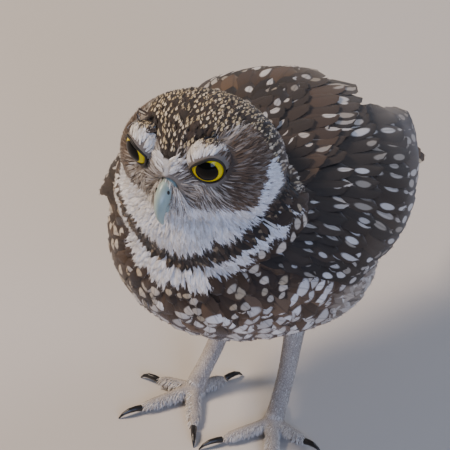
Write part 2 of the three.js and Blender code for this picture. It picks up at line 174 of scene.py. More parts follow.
def find_origin() -> np.ndarray:
    """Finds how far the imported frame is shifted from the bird's, from the left eye's box.

    Returns:
        The shift in millimetres.
    """
    low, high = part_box("eye_left")
    centre = (np.array(low) + np.array(high)) / 2 / MM
    eye = from_head(EYE_PLACE[None])[0]
    return np.array([0.0, centre[1] - eye[1], 0.0])


def make_mesh(name: str, points: np.ndarray, faces: np.ndarray) -> bpy.types.Object:
    """Makes an object from points in the bird's frame and faces of three or four corners.

    Args:
        name: the piece's name.
        points: one row for each vertex, in millimetres.
        faces: one row for each face.

    Returns:
        The new object, linked to the scene, with smooth shading.
    """
    mesh = bpy.data.meshes.new(name)
    faces = np.asarray(faces, np.int32)
    sides = faces.shape[1]
    mesh.vertices.add(len(points))
    mesh.vertices.foreach_set("co", ((points + ORIGIN) * MM).astype(np.float32).ravel())
    mesh.loops.add(faces.size)
    mesh.loops.foreach_set("vertex_index", faces.ravel())
    mesh.polygons.add(len(faces))
    mesh.polygons.foreach_set("loop_start", np.arange(0, faces.size, sides, dtype=np.int32))
    mesh.update(calc_edges=True)
    mesh.validate()
    mesh.shade_smooth()
    piece = bpy.data.objects.new(name, mesh)
    bpy.context.scene.collection.objects.link(piece)
    return piece


def grid_faces(rows: int, columns: int, close_rows: bool = False,
               close_columns: bool = True) -> np.ndarray:
    """Gives the faces between neighbours in a grid of vertices.

    Args:
        rows: how many rows the grid has.
        columns: how many vertices are in each row.
        close_rows: whether the last row joins the first.
        close_columns: whether each row's end joins its start.

    Returns:
        Four vertex numbers for each face.
    """
    index = np.arange(rows * columns).reshape(rows, columns)
    if close_rows:
        index = np.concatenate([index, index[:1]])
    if close_columns:
        index = np.concatenate([index, index[:, :1]], axis=1)
    corners = [index[:-1, :-1], index[1:, :-1], index[1:, 1:], index[:-1, 1:]]
    return np.stack(corners, -1).reshape(-1, 4)


def read_vertices(mesh: bpy.types.Mesh) -> tuple[np.ndarray, np.ndarray]:
    """Reads a mesh's vertices.

    Args:
        mesh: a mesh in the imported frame.

    Returns:
        The points in the bird's frame and the normals there.
    """
    points, normals = np.empty(len(mesh.vertices) * 3), np.empty(len(mesh.vertices) * 3)
    mesh.vertices.foreach_get("co", points)
    mesh.vertices.foreach_get("normal", normals)
    return points.reshape(-1, 3) / MM - ORIGIN, unit(normals.reshape(-1, 3))


def remesh_solids(name: str, nodes: tuple[str, ...], voxel_mm: float,
                  turns: int) -> bpy.types.Object:
    """Joins solids into one smooth mesh.

    Args:
        name: the new object's name.
        nodes: the solids.
        voxel_mm: the size of the new mesh's cells.
        turns: how often it is smoothed.

    Returns:
        The new object.
    """
    bm = bmesh.new()
    for node in nodes:
        bm.from_mesh(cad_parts[node].data)
    mesh = bpy.data.meshes.new(name)
    bm.to_mesh(mesh)
    bm.free()
    piece = bpy.data.objects.new(name, mesh)
    bpy.context.scene.collection.objects.link(piece)
    remesh = piece.modifiers.new("remesh", "REMESH")
    remesh.mode = "VOXEL"
    remesh.voxel_size = voxel_mm * MM
    smooth = piece.modifiers.new("smooth", "SMOOTH")
    smooth.factor = 0.5
    smooth.iterations = turns
    shape = bpy.data.meshes.new_from_object(
        piece.evaluated_get(bpy.context.evaluated_depsgraph_get()))
    piece.modifiers.clear()
    piece.data = shape
    return piece


def set_uv(piece: bpy.types.Object, name: str, per_vertex: np.ndarray) -> None:
    """Stores a UV map.

    Args:
        piece: the object that gets it.
        name: the map's name.
        per_vertex: u and v for each vertex.
    """
    mesh = piece.data
    layer = mesh.uv_layers.new(name=name)
    corner = np.empty(len(mesh.loops), np.int32)
    mesh.loops.foreach_get("vertex_index", corner)
    layer.data.foreach_set("uv", per_vertex[corner].astype(np.float32).ravel())


def set_colour(piece: bpy.types.Object, name: str, per_vertex: np.ndarray) -> None:
    """Stores a linear colour, or any three numbers, for each vertex.

    Args:
        piece: the object that gets them.
        name: the attribute's name.
        per_vertex: three numbers for each vertex.
    """
    layer = piece.data.color_attributes.new(name=name, type="FLOAT_COLOR", domain="POINT")
    full = np.ones((len(per_vertex), 4), np.float32)
    full[:, :3] = per_vertex
    layer.data.foreach_set("color", full.ravel())


class Nodes:
    """A material's node tree, filled by one function that adds a node with its links."""

    def __init__(self, name: str) -> None:
        """Starts an empty material.

        Args:
            name: the material's name.
        """
        self.material = bpy.data.materials.new(name)
        self.material.use_nodes = True
        self.tree = self.material.node_tree
        self.tree.nodes.clear()

    def add(self, kind: str, links: dict | None = None, **settings: object) -> bpy.types.Node:
        """Adds a node.

        Args:
            kind: the node's type name, without ShaderNode.
            links: input name or number to an output socket, a node or a plain value.
            settings: properties of the node.

        Returns:
            The new node.
        """
        node = self.tree.nodes.new("ShaderNode" + kind)
        for key, value in settings.items():
            setattr(node, key, value)
        for key, value in (links or {}).items():
            socket = node.inputs[key]
            if isinstance(value, bpy.types.Node):
                self.tree.links.new(value.outputs[0], socket)
            elif isinstance(value, bpy.types.NodeSocket):
                self.tree.links.new(value, socket)
            else:
                socket.default_value = value
        return node

    def math(self, operation: str, *values: object) -> bpy.types.NodeSocket:
        """Adds a Math node and gives its output."""
        node = self.add("Math", dict(enumerate(values)), operation=operation)
        return node.outputs[0]

    def mix(self, factor: object, first: object, second: object,
            blend: str = "MIX") -> bpy.types.NodeSocket:
        """Adds a Mix node for colours and gives its output."""
        node = self.add("Mix", {0: factor, 6: first, 7: second}, data_type="RGBA",
                        blend_type=blend)
        return node.outputs[2]

    def ramp(self, value: object, start: float, end: float, first: float = 0.0,
             last: float = 1.0) -> bpy.types.NodeSocket:
        """Adds a Map Range node and gives its output."""
        return self.add("MapRange", {0: value, 1: start, 2: end, 3: first, 4: last}).outputs[0]

    def bump(self, height: object, strength: float, distance: float) -> bpy.types.Node:
        """Adds a Bump node and gives it."""
        return self.add("Bump", {"Strength": strength, "Distance": distance, "Height": height})

    def finish(self, values: dict) -> bpy.types.Material:
        """Joins a Principled shader with these inputs to the output and gives the material."""
        self.add("OutputMaterial", {"Surface": self.add("BsdfPrincipled", values)})
        return self.material


@dataclass(frozen=True)
class VaneFinish:
    """Feather keratin, grown in barbs and matte, so that light fades softly over the coat.

    Colour and marks follow each vane's own length and width. The attributes ground, mark, rows
    and web hold what differs from feather to feather. Noise scales are cycles in a metre.
    """

    name: str = "feather_keratin_matte"
    roughness: float = 0.72
    sheen: float = 0.25
    bump: float = 0.35
    barb_slant: float = -9.0
    barbs_along: float = 26.0
    barb_shade: float = 0.16
    edge_noise: float = 900.0
    edge_wobble: float = 1.1
    cloud_noise: float = 260.0
    rachis_shade: float = 0.72

    def spots(self, n: Nodes, off: bpy.types.NodeSocket,
              along: bpy.types.NodeSocket) -> bpy.types.NodeSocket:
        """Lays oval marks with soft edges along the vane.

        Args:
            n: the material's nodes.
            off: distance from the middle of the vane, 0 to 1.
            along: place from root to tip, 0 to 1.

        Returns:
            How much of the mark's colour shows.
        """
        rows = n.add("SeparateColor", {0: n.add("VertexColor", layer_name="rows")})
        web = n.add("SeparateColor", {0: n.add("VertexColor", layer_name="web")})
        wobble = n.add("TexNoise", {"Scale": self.edge_noise, "Detail": 2.0})
        shake = n.math("MULTIPLY_ADD", wobble.outputs[0], self.edge_wobble,
                       -self.edge_wobble / 2)
        step = n.math("FRACT", n.math("MULTIPLY_ADD", along, rows.outputs[0], rows.outputs[1]))
        dv = n.math("DIVIDE", n.math("SUBTRACT", step, 0.5), rows.outputs[2])
        du = n.math("DIVIDE", n.math("SUBTRACT", off, web.outputs[0]), web.outputs[1])
        reach = n.math("ADD", n.math("MULTIPLY", dv, dv), n.math("MULTIPLY", du, du))
        spot = n.add("MapRange", {0: n.math("ADD", reach, shake), 1: 1.3, 2: 0.6},
                     interpolation_type="SMOOTHSTEP")
        return n.math("MULTIPLY", spot.outputs[0], web.outputs[2])

    def build(self) -> bpy.types.Material:
        """Makes the material.

        Returns:
            The material of every vane.
        """
        n = Nodes(self.name)
        split = n.add("SeparateXYZ", {0: n.add("UVMap", uv_map="Vane")})
        off = n.math("ABSOLUTE", n.math("MULTIPLY_ADD", split.outputs[0], 2.0, -1.0))
        along = split.outputs[1]
        colour = n.mix(self.spots(n, off, along),
                       n.add("VertexColor", layer_name="ground").outputs[0],
                       n.add("VertexColor", layer_name="mark").outputs[0])
        slant = n.math("MULTIPLY_ADD", off, self.barb_slant,
                       n.math("MULTIPLY", along, self.barbs_along))
        wave = n.math("SINE", n.math("MULTIPLY", slant, math.tau))
        barb = n.math("MULTIPLY_ADD", wave, 0.5, 0.5)
        cloud = n.add("TexNoise", {"Scale": self.cloud_noise, "Detail": 3.0})
        shade = n.math("MULTIPLY_ADD", barb, self.barb_shade, 1 - self.barb_shade)
        shade = n.math("MULTIPLY", shade, n.ramp(off, 0.03, 0.1, self.rachis_shade))
        shade = n.math("MULTIPLY", shade, n.math("MULTIPLY_ADD", cloud.outputs[0], 0.5, 0.78))
        return n.finish({
            "Base Color": n.mix(1.0, colour, shade, "MULTIPLY"), "Roughness": self.roughness,
            "IOR": 1.54, "Sheen Weight": self.sheen, "Sheen Roughness": 0.4,
            "Normal": n.bump(barb, self.bump, 0.0002)})


@dataclass(frozen=True)
class SkinFinish:
    """Down over skin, matte and fluffy: takes the colour of the feathers, for any gap in them."""

    name: str = "down_matte"
    fluff_noise: float = 700.0

    def build(self) -> bpy.types.Material:
        """Makes the material.

        Returns:
            The material of the flesh under the coat.
        """
        n = Nodes(self.name)
        ground = n.add("VertexColor", layer_name="ground").outputs[0]
        cloud = n.add("TexNoise", {"Scale": self.fluff_noise, "Detail": 4.0}).outputs[0]
        shade = n.math("MULTIPLY_ADD", cloud, 0.6, 0.5)
        return n.finish({"Base Color": n.mix(1.0, ground, shade, "MULTIPLY"),
                         "Roughness": 0.9, "Normal": n.bump(cloud, 0.6, 0.0006)})


@dataclass(frozen=True)
class HornFinish:
    """Keratin horn, grown in layers and worn smooth: a satin gloss with faint streaks."""

    name: str
    light: str
    dark: str
    roughness: float
    streak_noise: float = 300.0

    def build(self) -> bpy.types.Material:
        """Makes the material.

        Returns:
            The material of a bill or claw.
        """
        n = Nodes(self.name)
        place = n.add("TexCoord").outputs["Object"]
        stretch = n.add("Mapping", {0: place, 3: (1.0, 1.0, 0.35)})
        grain = n.add("TexNoise", {0: stretch, "Scale": self.streak_noise, "Detail": 5.0})
        grain = grain.outputs[0]
        return n.finish({
            "Base Color": n.mix(grain, srgb(self.dark), srgb(self.light)),
            "Roughness": n.ramp(grain, 0.0, 1.0, self.roughness - 0.08, self.roughness + 0.12),
            "IOR": 1.55, "Subsurface Weight": 0.08,
            "Subsurface Radius": (0.002, 0.002, 0.0015), "Coat Weight": 0.15,
            "Coat Roughness": 0.25, "Normal": n.bump(grain, 0.15, 0.0002)})


@dataclass(frozen=True)
class EyeFinish:
    """Eye: lemon iris with fine spokes round a black pupil, under a wet clear cornea.

    The attribute polar holds distance from the eye's axis in centimetres and the turn round it.
    """

    name: str = "eye_wet_cornea"
    pupil_mm: float = 4.3
    iris_mm: float = 5.95
    yellow: str = "ecd81e"
    ochre: str = "c9b010"
    rim: str = "8c7a10"
    black: str = "060606"

    def build(self) -> bpy.types.Material:
        """Makes the material.

        Returns:
            The material of an eyeball.
        """
        n = Nodes(self.name)
        split = n.add("SeparateColor", {0: n.add("VertexColor", layer_name="polar")})
        radius = n.math("MULTIPLY", split.outputs[0], 10.0)
        round_eye = n.add("CombineXYZ", {0: split.outputs[1], 1: split.outputs[2]})
        spokes = n.add("TexNoise", {"Scale": 22.0, "Detail": 2.0, 1: 0.0, 0: round_eye})
        bright = n.mix(spokes.outputs[0], srgb(self.ochre), srgb(self.yellow))
        edge = n.ramp(radius, self.iris_mm - 0.5, self.iris_mm)
        iris = n.mix(edge, bright, srgb(self.rim))
        hole = n.ramp(radius, self.pupil_mm - 0.12, self.pupil_mm + 0.12, 1.0, 0.0)
        outer = n.ramp(radius, self.iris_mm, self.iris_mm + 0.25)
        return n.finish({
            "Base Color": n.mix(n.math("MAXIMUM", hole, outer), iris, srgb(self.black)),
            "Roughness": 0.3, "IOR": 1.376, "Specular IOR Level": 0.0, "Coat Weight": 0.6,
            "Coat Roughness": 0.02, "Coat IOR": 1.336})


@dataclass(frozen=True)
class ToeFinish:
    """Toe skin: grey-fawn and dry, grown in small scutes, so its light is broken and matte."""

    name: str = "toe_skin_scaled"
    scute_mm: float = 0.9

    def build(self) -> bpy.types.Material:
        """Makes the material.

        Returns:
            The material of the feet.
        """
        n = Nodes(self.name)
        place = n.add("TexCoord").outputs["Object"]
        cells = n.add("TexVoronoi", {0: place, "Scale": 1000 / self.scute_mm},
                      feature="DISTANCE_TO_EDGE")
        cloud = n.add("TexNoise", {0: place, "Scale": 180.0, "Detail": 3.0})
        base = n.mix(cloud.outputs[0], srgb("9a918a"), srgb("c4bcb4"))
        groove = n.ramp(cells.outputs[0], 0.0, 0.12, 0.55)
        return n.finish({"Base Color": n.mix(1.0, base, groove, "MULTIPLY"),
                         "Roughness": 0.7, "IOR": 1.45, "Normal": n.bump(groove, 0.5, 0.0003)})


@dataclass(frozen=True)
class LidFinish:
    """Eyelid rim: bare black skin, finely creased and faintly moist, with a thin highlight."""

    name: str = "eyelid_skin_bare"

    def build(self) -> bpy.types.Material:
        """Makes the material.

        Returns:
            The material of the lids' rims and the nostrils.
        """
        n = Nodes(self.name)
        grain = n.add("TexNoise", {"Scale": 1500.0, "Detail": 3.0}).outputs[0]
        return n.finish({"Base Color": n.mix(grain, srgb("0d0b0a"), srgb("241e1a")),
                         "Roughness": 0.5, "Normal": n.bump(grain, 0.3, 0.0001)})


@dataclass(frozen=True)
class FloorFinish:
    """Studio floor: pale rolled paint, matte with the faintest mottle."""

    name: str = "studio_floor_paint"
    light: str = "cfc9c2"
    dark: str = "c8c2bb"

    def build(self) -> bpy.types.Material:
        """Makes the material.

        Returns:
            The material of the floor.
        """
        n = Nodes(self.name)
        cloud = n.add("TexNoise", {"Scale": 6.0, "Detail": 3.0}).outputs[0]
        return n.finish({"Base Color": n.mix(cloud, srgb(self.dark), srgb(self.light)),
                         "Roughness": 0.9})


class Tract(Enum):
    """The feather tracts of the coat, each with its own feather."""

    CROWN = 0
    BROW = 1
    DISC = 2
    EAR = 3
    RIM = 4
    THROAT = 5
    NAPE = 6
    BAND_DARK = 7
    BAND_WHITE = 8
    BREAST = 9
    BELLY = 10
    FLANK = 11
    BACK = 12
    RUMP = 13
    THIGH = 14


@dataclass(frozen=True)
class Feather:
    """One tract's feather. Sizes are in millimetres.

    rows, shift and mark_length say how many marks lie along the vane, where and how long; web,
    mark_width and amount say where they lie across it, how wide and how strong. share is how
    many of the feathers have marks. lift is the tip's height over the skin, curve the radius
    that the vane bends down with, stray the spread of its direction, and hug keeps it at its
    height over hollow skin.
    """

    length: float
    half: float
    spacing: float
    ground: tuple[str, ...]
    mark: tuple[str, ...] = ("d9cfc0",)
    rows: float = 1.0
    shift: float = -0.25
    mark_length: float = 0.14
    web: float = 0.0
    mark_width: float = 0.4
    amount: float = 0.0
    lift: float = 0.8
    jag: float = 0.08
    across: int = 2
    along: int = 5
    stray: float = 0.12
    curve: float = 40.0
    share: float = 1.0
    barbs: int = 0
    barb_mm: float = 1.2
    barb_half: float = 0.07
    hug: bool = True


COAT: dict[Tract, Feather] = {
    Tract.CROWN: Feather(5.0, 1.2, 1.4, ("2b221c", "241c17", "382c24"), ("e3d5bb", "c9b792"),
                         shift=-0.24, mark_length=0.19, mark_width=0.4, amount=0.95, lift=0.8,
                         along=4, curve=30, stray=0.18, share=0.72, barbs=7, barb_mm=1.1),
    Tract.BROW: Feather(5.0, 0.45, 0.8, ("f6f4f3", "e9e6e3", "dcd6ce"), lift=0.9, along=4,
                        curve=26, jag=0.12, stray=0.14, barbs=4, barb_mm=1.2),
    Tract.DISC: Feather(5.6, 0.24, 0.72, ("a89e95", "7b6f64", "4b4138", "cdc7c1", "b3a9a0"),
                        lift=0.8, along=4, across=1, curve=32, jag=0.2, stray=0.12, barbs=2,
                        barb_mm=1.6, barb_half=0.05),
    Tract.EAR: Feather(5.6, 0.3, 0.72, ("6a5c51", "4c4037", "8b7e73", "5b4d42"), lift=0.8,
                       along=4, across=1, curve=32, jag=0.2, stray=0.12, barbs=2, barb_mm=1.6,
                       barb_half=0.05),
    Tract.RIM: Feather(4.0, 0.4, 0.75, ("fbfbfd", "f2f3f7", "e6e5e7"), lift=1.5, along=4,
                       curve=30, jag=0.12, stray=0.18, barbs=4, barb_mm=1.3),
    Tract.THROAT: Feather(7.0, 0.7, 1.05, ("f6f5f7", "ecebed", "dfdad5"), lift=1.2, along=5,
                          curve=30, jag=0.14, stray=0.18, barbs=6, barb_mm=1.6),
    Tract.NAPE: Feather(7.0, 1.5, 1.9, ("3f332a", "2f2620", "52443a"), ("d8cdbd", "b9a88d"),
                        shift=-0.3, mark_length=0.26, mark_width=0.34, amount=0.9, lift=1.0,
                        across=2, along=6, curve=34, stray=0.2, share=0.8, barbs=8,
                        barb_mm=1.6),
    Tract.BAND_DARK: Feather(7.5, 1.1, 1.5, ("2c231d", "211b17", "46392e"), ("b79f7e",),
                             mark_length=0.14, shift=-0.42, mark_width=0.9, amount=0.5, lift=1.0,
                             along=5, curve=34, jag=0.14, stray=0.22, share=0.2, barbs=6,
                             barb_mm=1.6),
    Tract.BAND_WHITE: Feather(8.0, 0.85, 1.1, ("f6f5f6", "edecef", "ded9d4"), lift=1.2, along=5,
                              curve=34, jag=0.1, stray=0.14, barbs=7, barb_mm=1.4),
    Tract.BREAST: Feather(10.5, 3.4, 3.5, ("38291d", "2d2017", "46372a"),
                          ("d3c8ba", "b9a88f", "c4b9ab"),
                          shift=-0.3, mark_length=0.13, web=0.0, mark_width=0.66, amount=0.95,
                          lift=1.3, across=4, along=8, curve=38, jag=0.08, stray=0.24,
                          share=0.66, barbs=18, barb_mm=1.7),
    Tract.BELLY: Feather(11.5, 4.3, 4.0, ("57473a", "453629", "69594b"),
                         ("ebe8e6", "dad6d3", "c9c4c0"),
                         shift=-0.2, mark_length=0.17, mark_width=0.85, amount=1.0,
                         lift=1.4, across=4, along=8, curve=38, jag=0.1, stray=0.28, share=0.92,
                         barbs=22, barb_mm=2.0),
    Tract.FLANK: Feather(14.0, 2.4, 2.7, ("b7aca0", "96897b", "cfc7bf", "7d6f61"),
                         ("e9e6e3", "dcd8d3"),
                         rows=1.0, shift=-0.12, mark_length=0.12, mark_width=1.2, amount=0.8,
                         lift=1.6, across=4, along=8, curve=46, jag=0.1, stray=0.16, share=0.4,
                         barbs=14, barb_mm=2.4),
    Tract.BACK: Feather(11.0, 3.3, 3.2, ("392d24", "2f251e", "463930"), ("ddd2bf", "c9b99b"),
                        shift=-0.26, mark_length=0.13, mark_width=0.4, amount=0.95, lift=1.2,
                        across=4, along=8, curve=42, jag=0.06, stray=0.16, share=0.8, barbs=12,
                        barb_mm=1.4),
    Tract.RUMP: Feather(13.0, 3.6, 3.6, ("44372c", "392e25", "524437"), ("c3b191",),
                        rows=1.0, mark_length=0.1, shift=-0.3, mark_width=0.8, amount=0.6,
                        lift=1.2, across=4, along=8, curve=40, jag=0.08, stray=0.16, share=0.6,
                        barbs=12, barb_mm=1.8),
    Tract.THIGH: Feather(8.5, 1.0, 1.6, ("e0dbd4", "d3ccc3", "c8beb0"), lift=0.7, across=2,
                         along=6, curve=24, jag=0.14, stray=0.2, barbs=6, barb_mm=1.6,
                         hug=False),
}

# The white brow as points on the left of the head, with its half width at each.
BROW_PATH = ((0.0, -24.0, 11.5), (5.0, -22.5, 14.2), (10.2, -18.9, 17.0), (16.0, -14.8, 18.8),
             (20.5, -10.4, 18.6), (26.8, -2.0, 15.2))
BROW_SIZE = (4.0, 3.1, 2.3, 1.9, 1.6, 0.9)
# Lines of the face in the head's own x and z: under the brow, and the white rim of the disc.
BROW_LINE = ((0, 11.8), (5, 14.6), (10, 18.0), (16, 19.4), (22, 18.4), (29, 14.5))
RIM_LINE = ((31.5, 8.0), (32.2, 2.0), (30.0, -5.0), (25.5, -11.5), (19.0, -16.0), (9.0, -19.0))
RIM_HALF = 1.4
THROAT_LINE = ((0, -4), (5, -2.5), (15, -4), (25, -5), (31, -3))
# The collar's bands: height at the middle, rise with distance from it, half width, its growth.
COLLAR_WHITE = (102.5, 0.022, 4.2, 0.0)
COLLAR_DARK = (110.5, 0.028, 4.4, 0.006)
# Where the body's tracts end: y or z in the bird's frame, and how far the surface faces back.
FRONT_END, FRONT_FACING = -4.0, 0.45
BREAST_FOOT = 88.0
FLANK_TOP, FLANK_START = 87.0, -6.0
BACK_FACING, BACK_START, BACK_FOOT = 0.1, -14.0, 92.0
RUMP_START, RUMP_FOOT = 66.0, 84.0
NAPE_FOOT = 112.0
THIGH_TOP, THIGH_INNER, THIGH_START = 56.0, 6.0, 8.0
# Where the head's tracts end, in the head's frame, and its reach as a share of HEAD_HALF.
HEAD_REACH, HEAD_FOOT = 1.05, -21.0
HEAD_NAPE_START, HEAD_NAPE_TOP = 2.0, 8.0
FACE_END, FACE_FACING, DISC_OUTER = 1.0, 0.2, 31.0
EAR_INNER, EAR_TOP, EAR_FOOT = 19.5, 18.0, -8.0
CHEEK_INNER, CHEEK_TOP = 20.0, -12.0
NECK_INNER, NECK_TOP, NECK_START = 25.0, 0.0, -9.0


def line_distance(line: tuple, x: np.ndarray, z: np.ndarray) -> np.ndarray:
    """Gives the distance from points to a bent line of (x, z) corners.

    Args:
        line: the corners in order.
        x: the points' first coordinate.
        z: the points' second coordinate.

    Returns:
        The least distance to any stretch of the line.
    """
    best = np.full(np.shape(x), 1e9)
    for (ax, az), (bx, bz) in zip(line[:-1], line[1:]):
        dx, dz = bx - ax, bz - az
        t = np.clip(((x - ax) * dx + (z - az) * dz) / (dx * dx + dz * dz), 0, 1)
        best = np.minimum(best, np.hypot(x - ax - t * dx, z - az - t * dz))
    return best


def brow_reach(h: np.ndarray) -> np.ndarray:
    """Gives how far points of the head are from the brow.

    Args:
        h: points in the head's frame.

    Returns:
        The distance from the brow's middle as a share of its half width.
    """
    path, size = np.array(BROW_PATH), np.array(BROW_SIZE)
    q = h.copy()
    q[:, 0] = np.abs(q[:, 0])
    best = np.full(len(q), 1e9)
    for a, b, wide, narrow in zip(path[:-1], path[1:], size[:-1], size[1:]):
        t = np.clip((q - a) @ (b - a) / np.dot(b - a, b - a), 0, 1)
        off = np.linalg.norm(q - a - t[:, None] * (b - a), axis=1)
        best = np.minimum(best, off / (wide + (narrow - wide) * t))
    return best


def find_tract(p: np.ndarray, n: np.ndarray) -> np.ndarray:
    """Tells which tract each point of the skin belongs to.

    Args:
        p: points in the bird's frame.
        n: the skin's normals there.

    Returns:
        The tract's number for each point.
    """
    x, y, z = p.T
    side = np.abs(x)
    out = np.full(len(p), Tract.BELLY.value)
    white, dark = (band[0] + band[1] * x * x for band in (COLLAR_WHITE, COLLAR_DARK))
    front = (y < FRONT_END - 0.1 * side) & (n[:, 1] < FRONT_FACING)
    ripple = 2.2 * np.sin(x * 0.9 + 2.0 * np.sin(y * 0.35)) + 1.6 * np.sin(x * 0.37 + y * 0.6)
    out[z > BREAST_FOOT + 0.009 * x * np.abs(x) + ripple] = Tract.BREAST.value
    out[(z <= FLANK_TOP + 0.3 * ripple) & (y > FLANK_START)] = Tract.FLANK.value
    upper = (n[:, 2] > BACK_FACING) & (y > BACK_START) & (z > BACK_FOOT)
    out[upper] = Tract.BACK.value
    out[(y > RUMP_START) & (z > RUMP_FOOT)] = Tract.RUMP.value
    band = front & (np.abs(z - white) < COLLAR_WHITE[2])
    out[band] = Tract.BAND_WHITE.value
    deep = COLLAR_DARK[2] + COLLAR_DARK[3] * x * x
    out[front & (np.abs(z - dark) < deep) & ~band] = Tract.BAND_DARK.value
    out[front & (z >= dark + deep)] = Tract.THROAT.value
    nape = (z > NAPE_FOOT) & ~front
    out[nape] = Tract.NAPE.value
    thigh = (side > THIGH_INNER) & (y > THIGH_START)
    out[thigh & (z < THIGH_TOP - 0.2 * (y - THIGH_START))] = Tract.THIGH.value
    h = to_head(p)
    hx, hy, hz = np.abs(h[:, 0]), h[:, 1], h[:, 2]
    near = np.linalg.norm(h / HEAD_HALF, axis=1) < HEAD_REACH
    head = near & (hz > HEAD_FOOT)
    out[head] = Tract.CROWN.value
    out[head & (hy > HEAD_NAPE_START) & (hz < HEAD_NAPE_TOP)] = Tract.NAPE.value
    face = head & (hy < FACE_END) & (n[:, 1] < FACE_FACING)
    brow_z = profile(BROW_LINE, hx)
    below = face & (hz < brow_z) & (hx < DISC_OUTER)
    out[below] = Tract.DISC.value
    out[below & (hx > EAR_INNER) & (hz < EAR_TOP) & (hz > EAR_FOOT)] = Tract.EAR.value
    rim = face & (line_distance(RIM_LINE, hx, hz) < RIM_HALF)
    out[face & (hz < profile(THROAT_LINE, hx))] = Tract.THROAT.value
    cheek = (hx > CHEEK_INNER) & (hz < CHEEK_TOP + 0.55 * (hx - CHEEK_INNER))
    out[face & cheek] = Tract.BAND_DARK.value
    neck = (hx > NECK_INNER) & (hz < NECK_TOP) & (hy > NECK_START)
    out[head & neck] = Tract.BAND_DARK.value
    out[rim] = Tract.RIM.value
    out[head & (brow_reach(h) < 1)] = Tract.BROW.value
    return out


def lie(p: np.ndarray, n: np.ndarray, tract: np.ndarray) -> np.ndarray:
    """Gives the direction in which the coat lies at each point, along the skin.

    Args:
        p: points in the bird's frame.
        n: the skin's normals there.
        tract: each point's tract.

    Returns:
        Unit vectors that touch the skin.
    """
    flow = np.tile(np.array([0.0, 1.0, -0.55]), (len(p), 1))
    top = smoothstep(n[:, 2], 0.2, 0.8)
    flow[:, 2] += 0.45 * top
    under = n[:, 2] < -0.4
    flow[under, 2] = -0.1
    h = to_head(p)
    facial = np.isin(tract, [Tract.DISC.value, Tract.EAR.value, Tract.RIM.value])
    eye = np.stack([np.sign(h[:, 0]) * EYE_PLACE[0], np.full(len(p), -20.0),
                    np.full(len(p), EYE_PLACE[2])], -1)
    bill = np.array([0.0, -26.0, 4.0])
    from_eye = unit(h - eye)
    from_bill = unit(h - bill)
    closeness = smoothstep(np.abs(h[:, 0]), 4.0, 12.0)[:, None]
    radial = unit(from_bill * (1.25 - closeness) + from_eye * closeness)
    radial[:, 1] += 0.35
    flow[facial] = (radial @ HEAD_TURN.T)[facial]
    brow = tract == Tract.BROW.value
    outward = np.stack([np.sign(h[:, 0]) * 1.0, np.full(len(p), 0.7),
                        np.full(len(p), 0.55)], -1)
    flow[brow] = (outward @ HEAD_TURN.T)[brow]
    throat = tract == Tract.THROAT.value
    down = np.stack([np.sign(p[:, 0]) * np.minimum(np.abs(p[:, 0]) / 26, 1), np.full(len(p), 0.2),
                     np.full(len(p), -1.0)], -1)
    flow[throat] = down[throat]
    bands = np.isin(tract, [Tract.BAND_DARK.value, Tract.BAND_WHITE.value])
    flow[bands] = (down + np.array([0.0, 0.3, 0.0]))[bands]
    crown = tract == Tract.CROWN.value
    back = np.tile(np.array([0.0, 1.0, 0.25]), (len(p), 1))
    back[:, 2] -= 0.9 * smoothstep(h[:, 1], -6, 16)
    flow[crown] = (back @ HEAD_TURN.T)[crown]
    thigh = tract == Tract.THIGH.value
    flow[thigh] = np.array([0.0, 0.2, -1.0])
    flow = flow - n * np.sum(flow * n, axis=1, keepdims=True)
    return unit(flow)


def lid_opening(spin: np.ndarray, side: int) -> np.ndarray:
    """Gives the radius of the lids' opening, less at the top and least towards the bill.

    Args:
        spin: the angle round the eye, from its outer corner's level upwards.
        side: 1 for the left eye, -1 for the right.

    Returns:
        The radius in millimetres.
    """
    upper = np.clip(np.sin(spin), 0, 1)
    return LID_RING - upper * (LID_DROOP - 1.1 * np.cos(spin) * side)


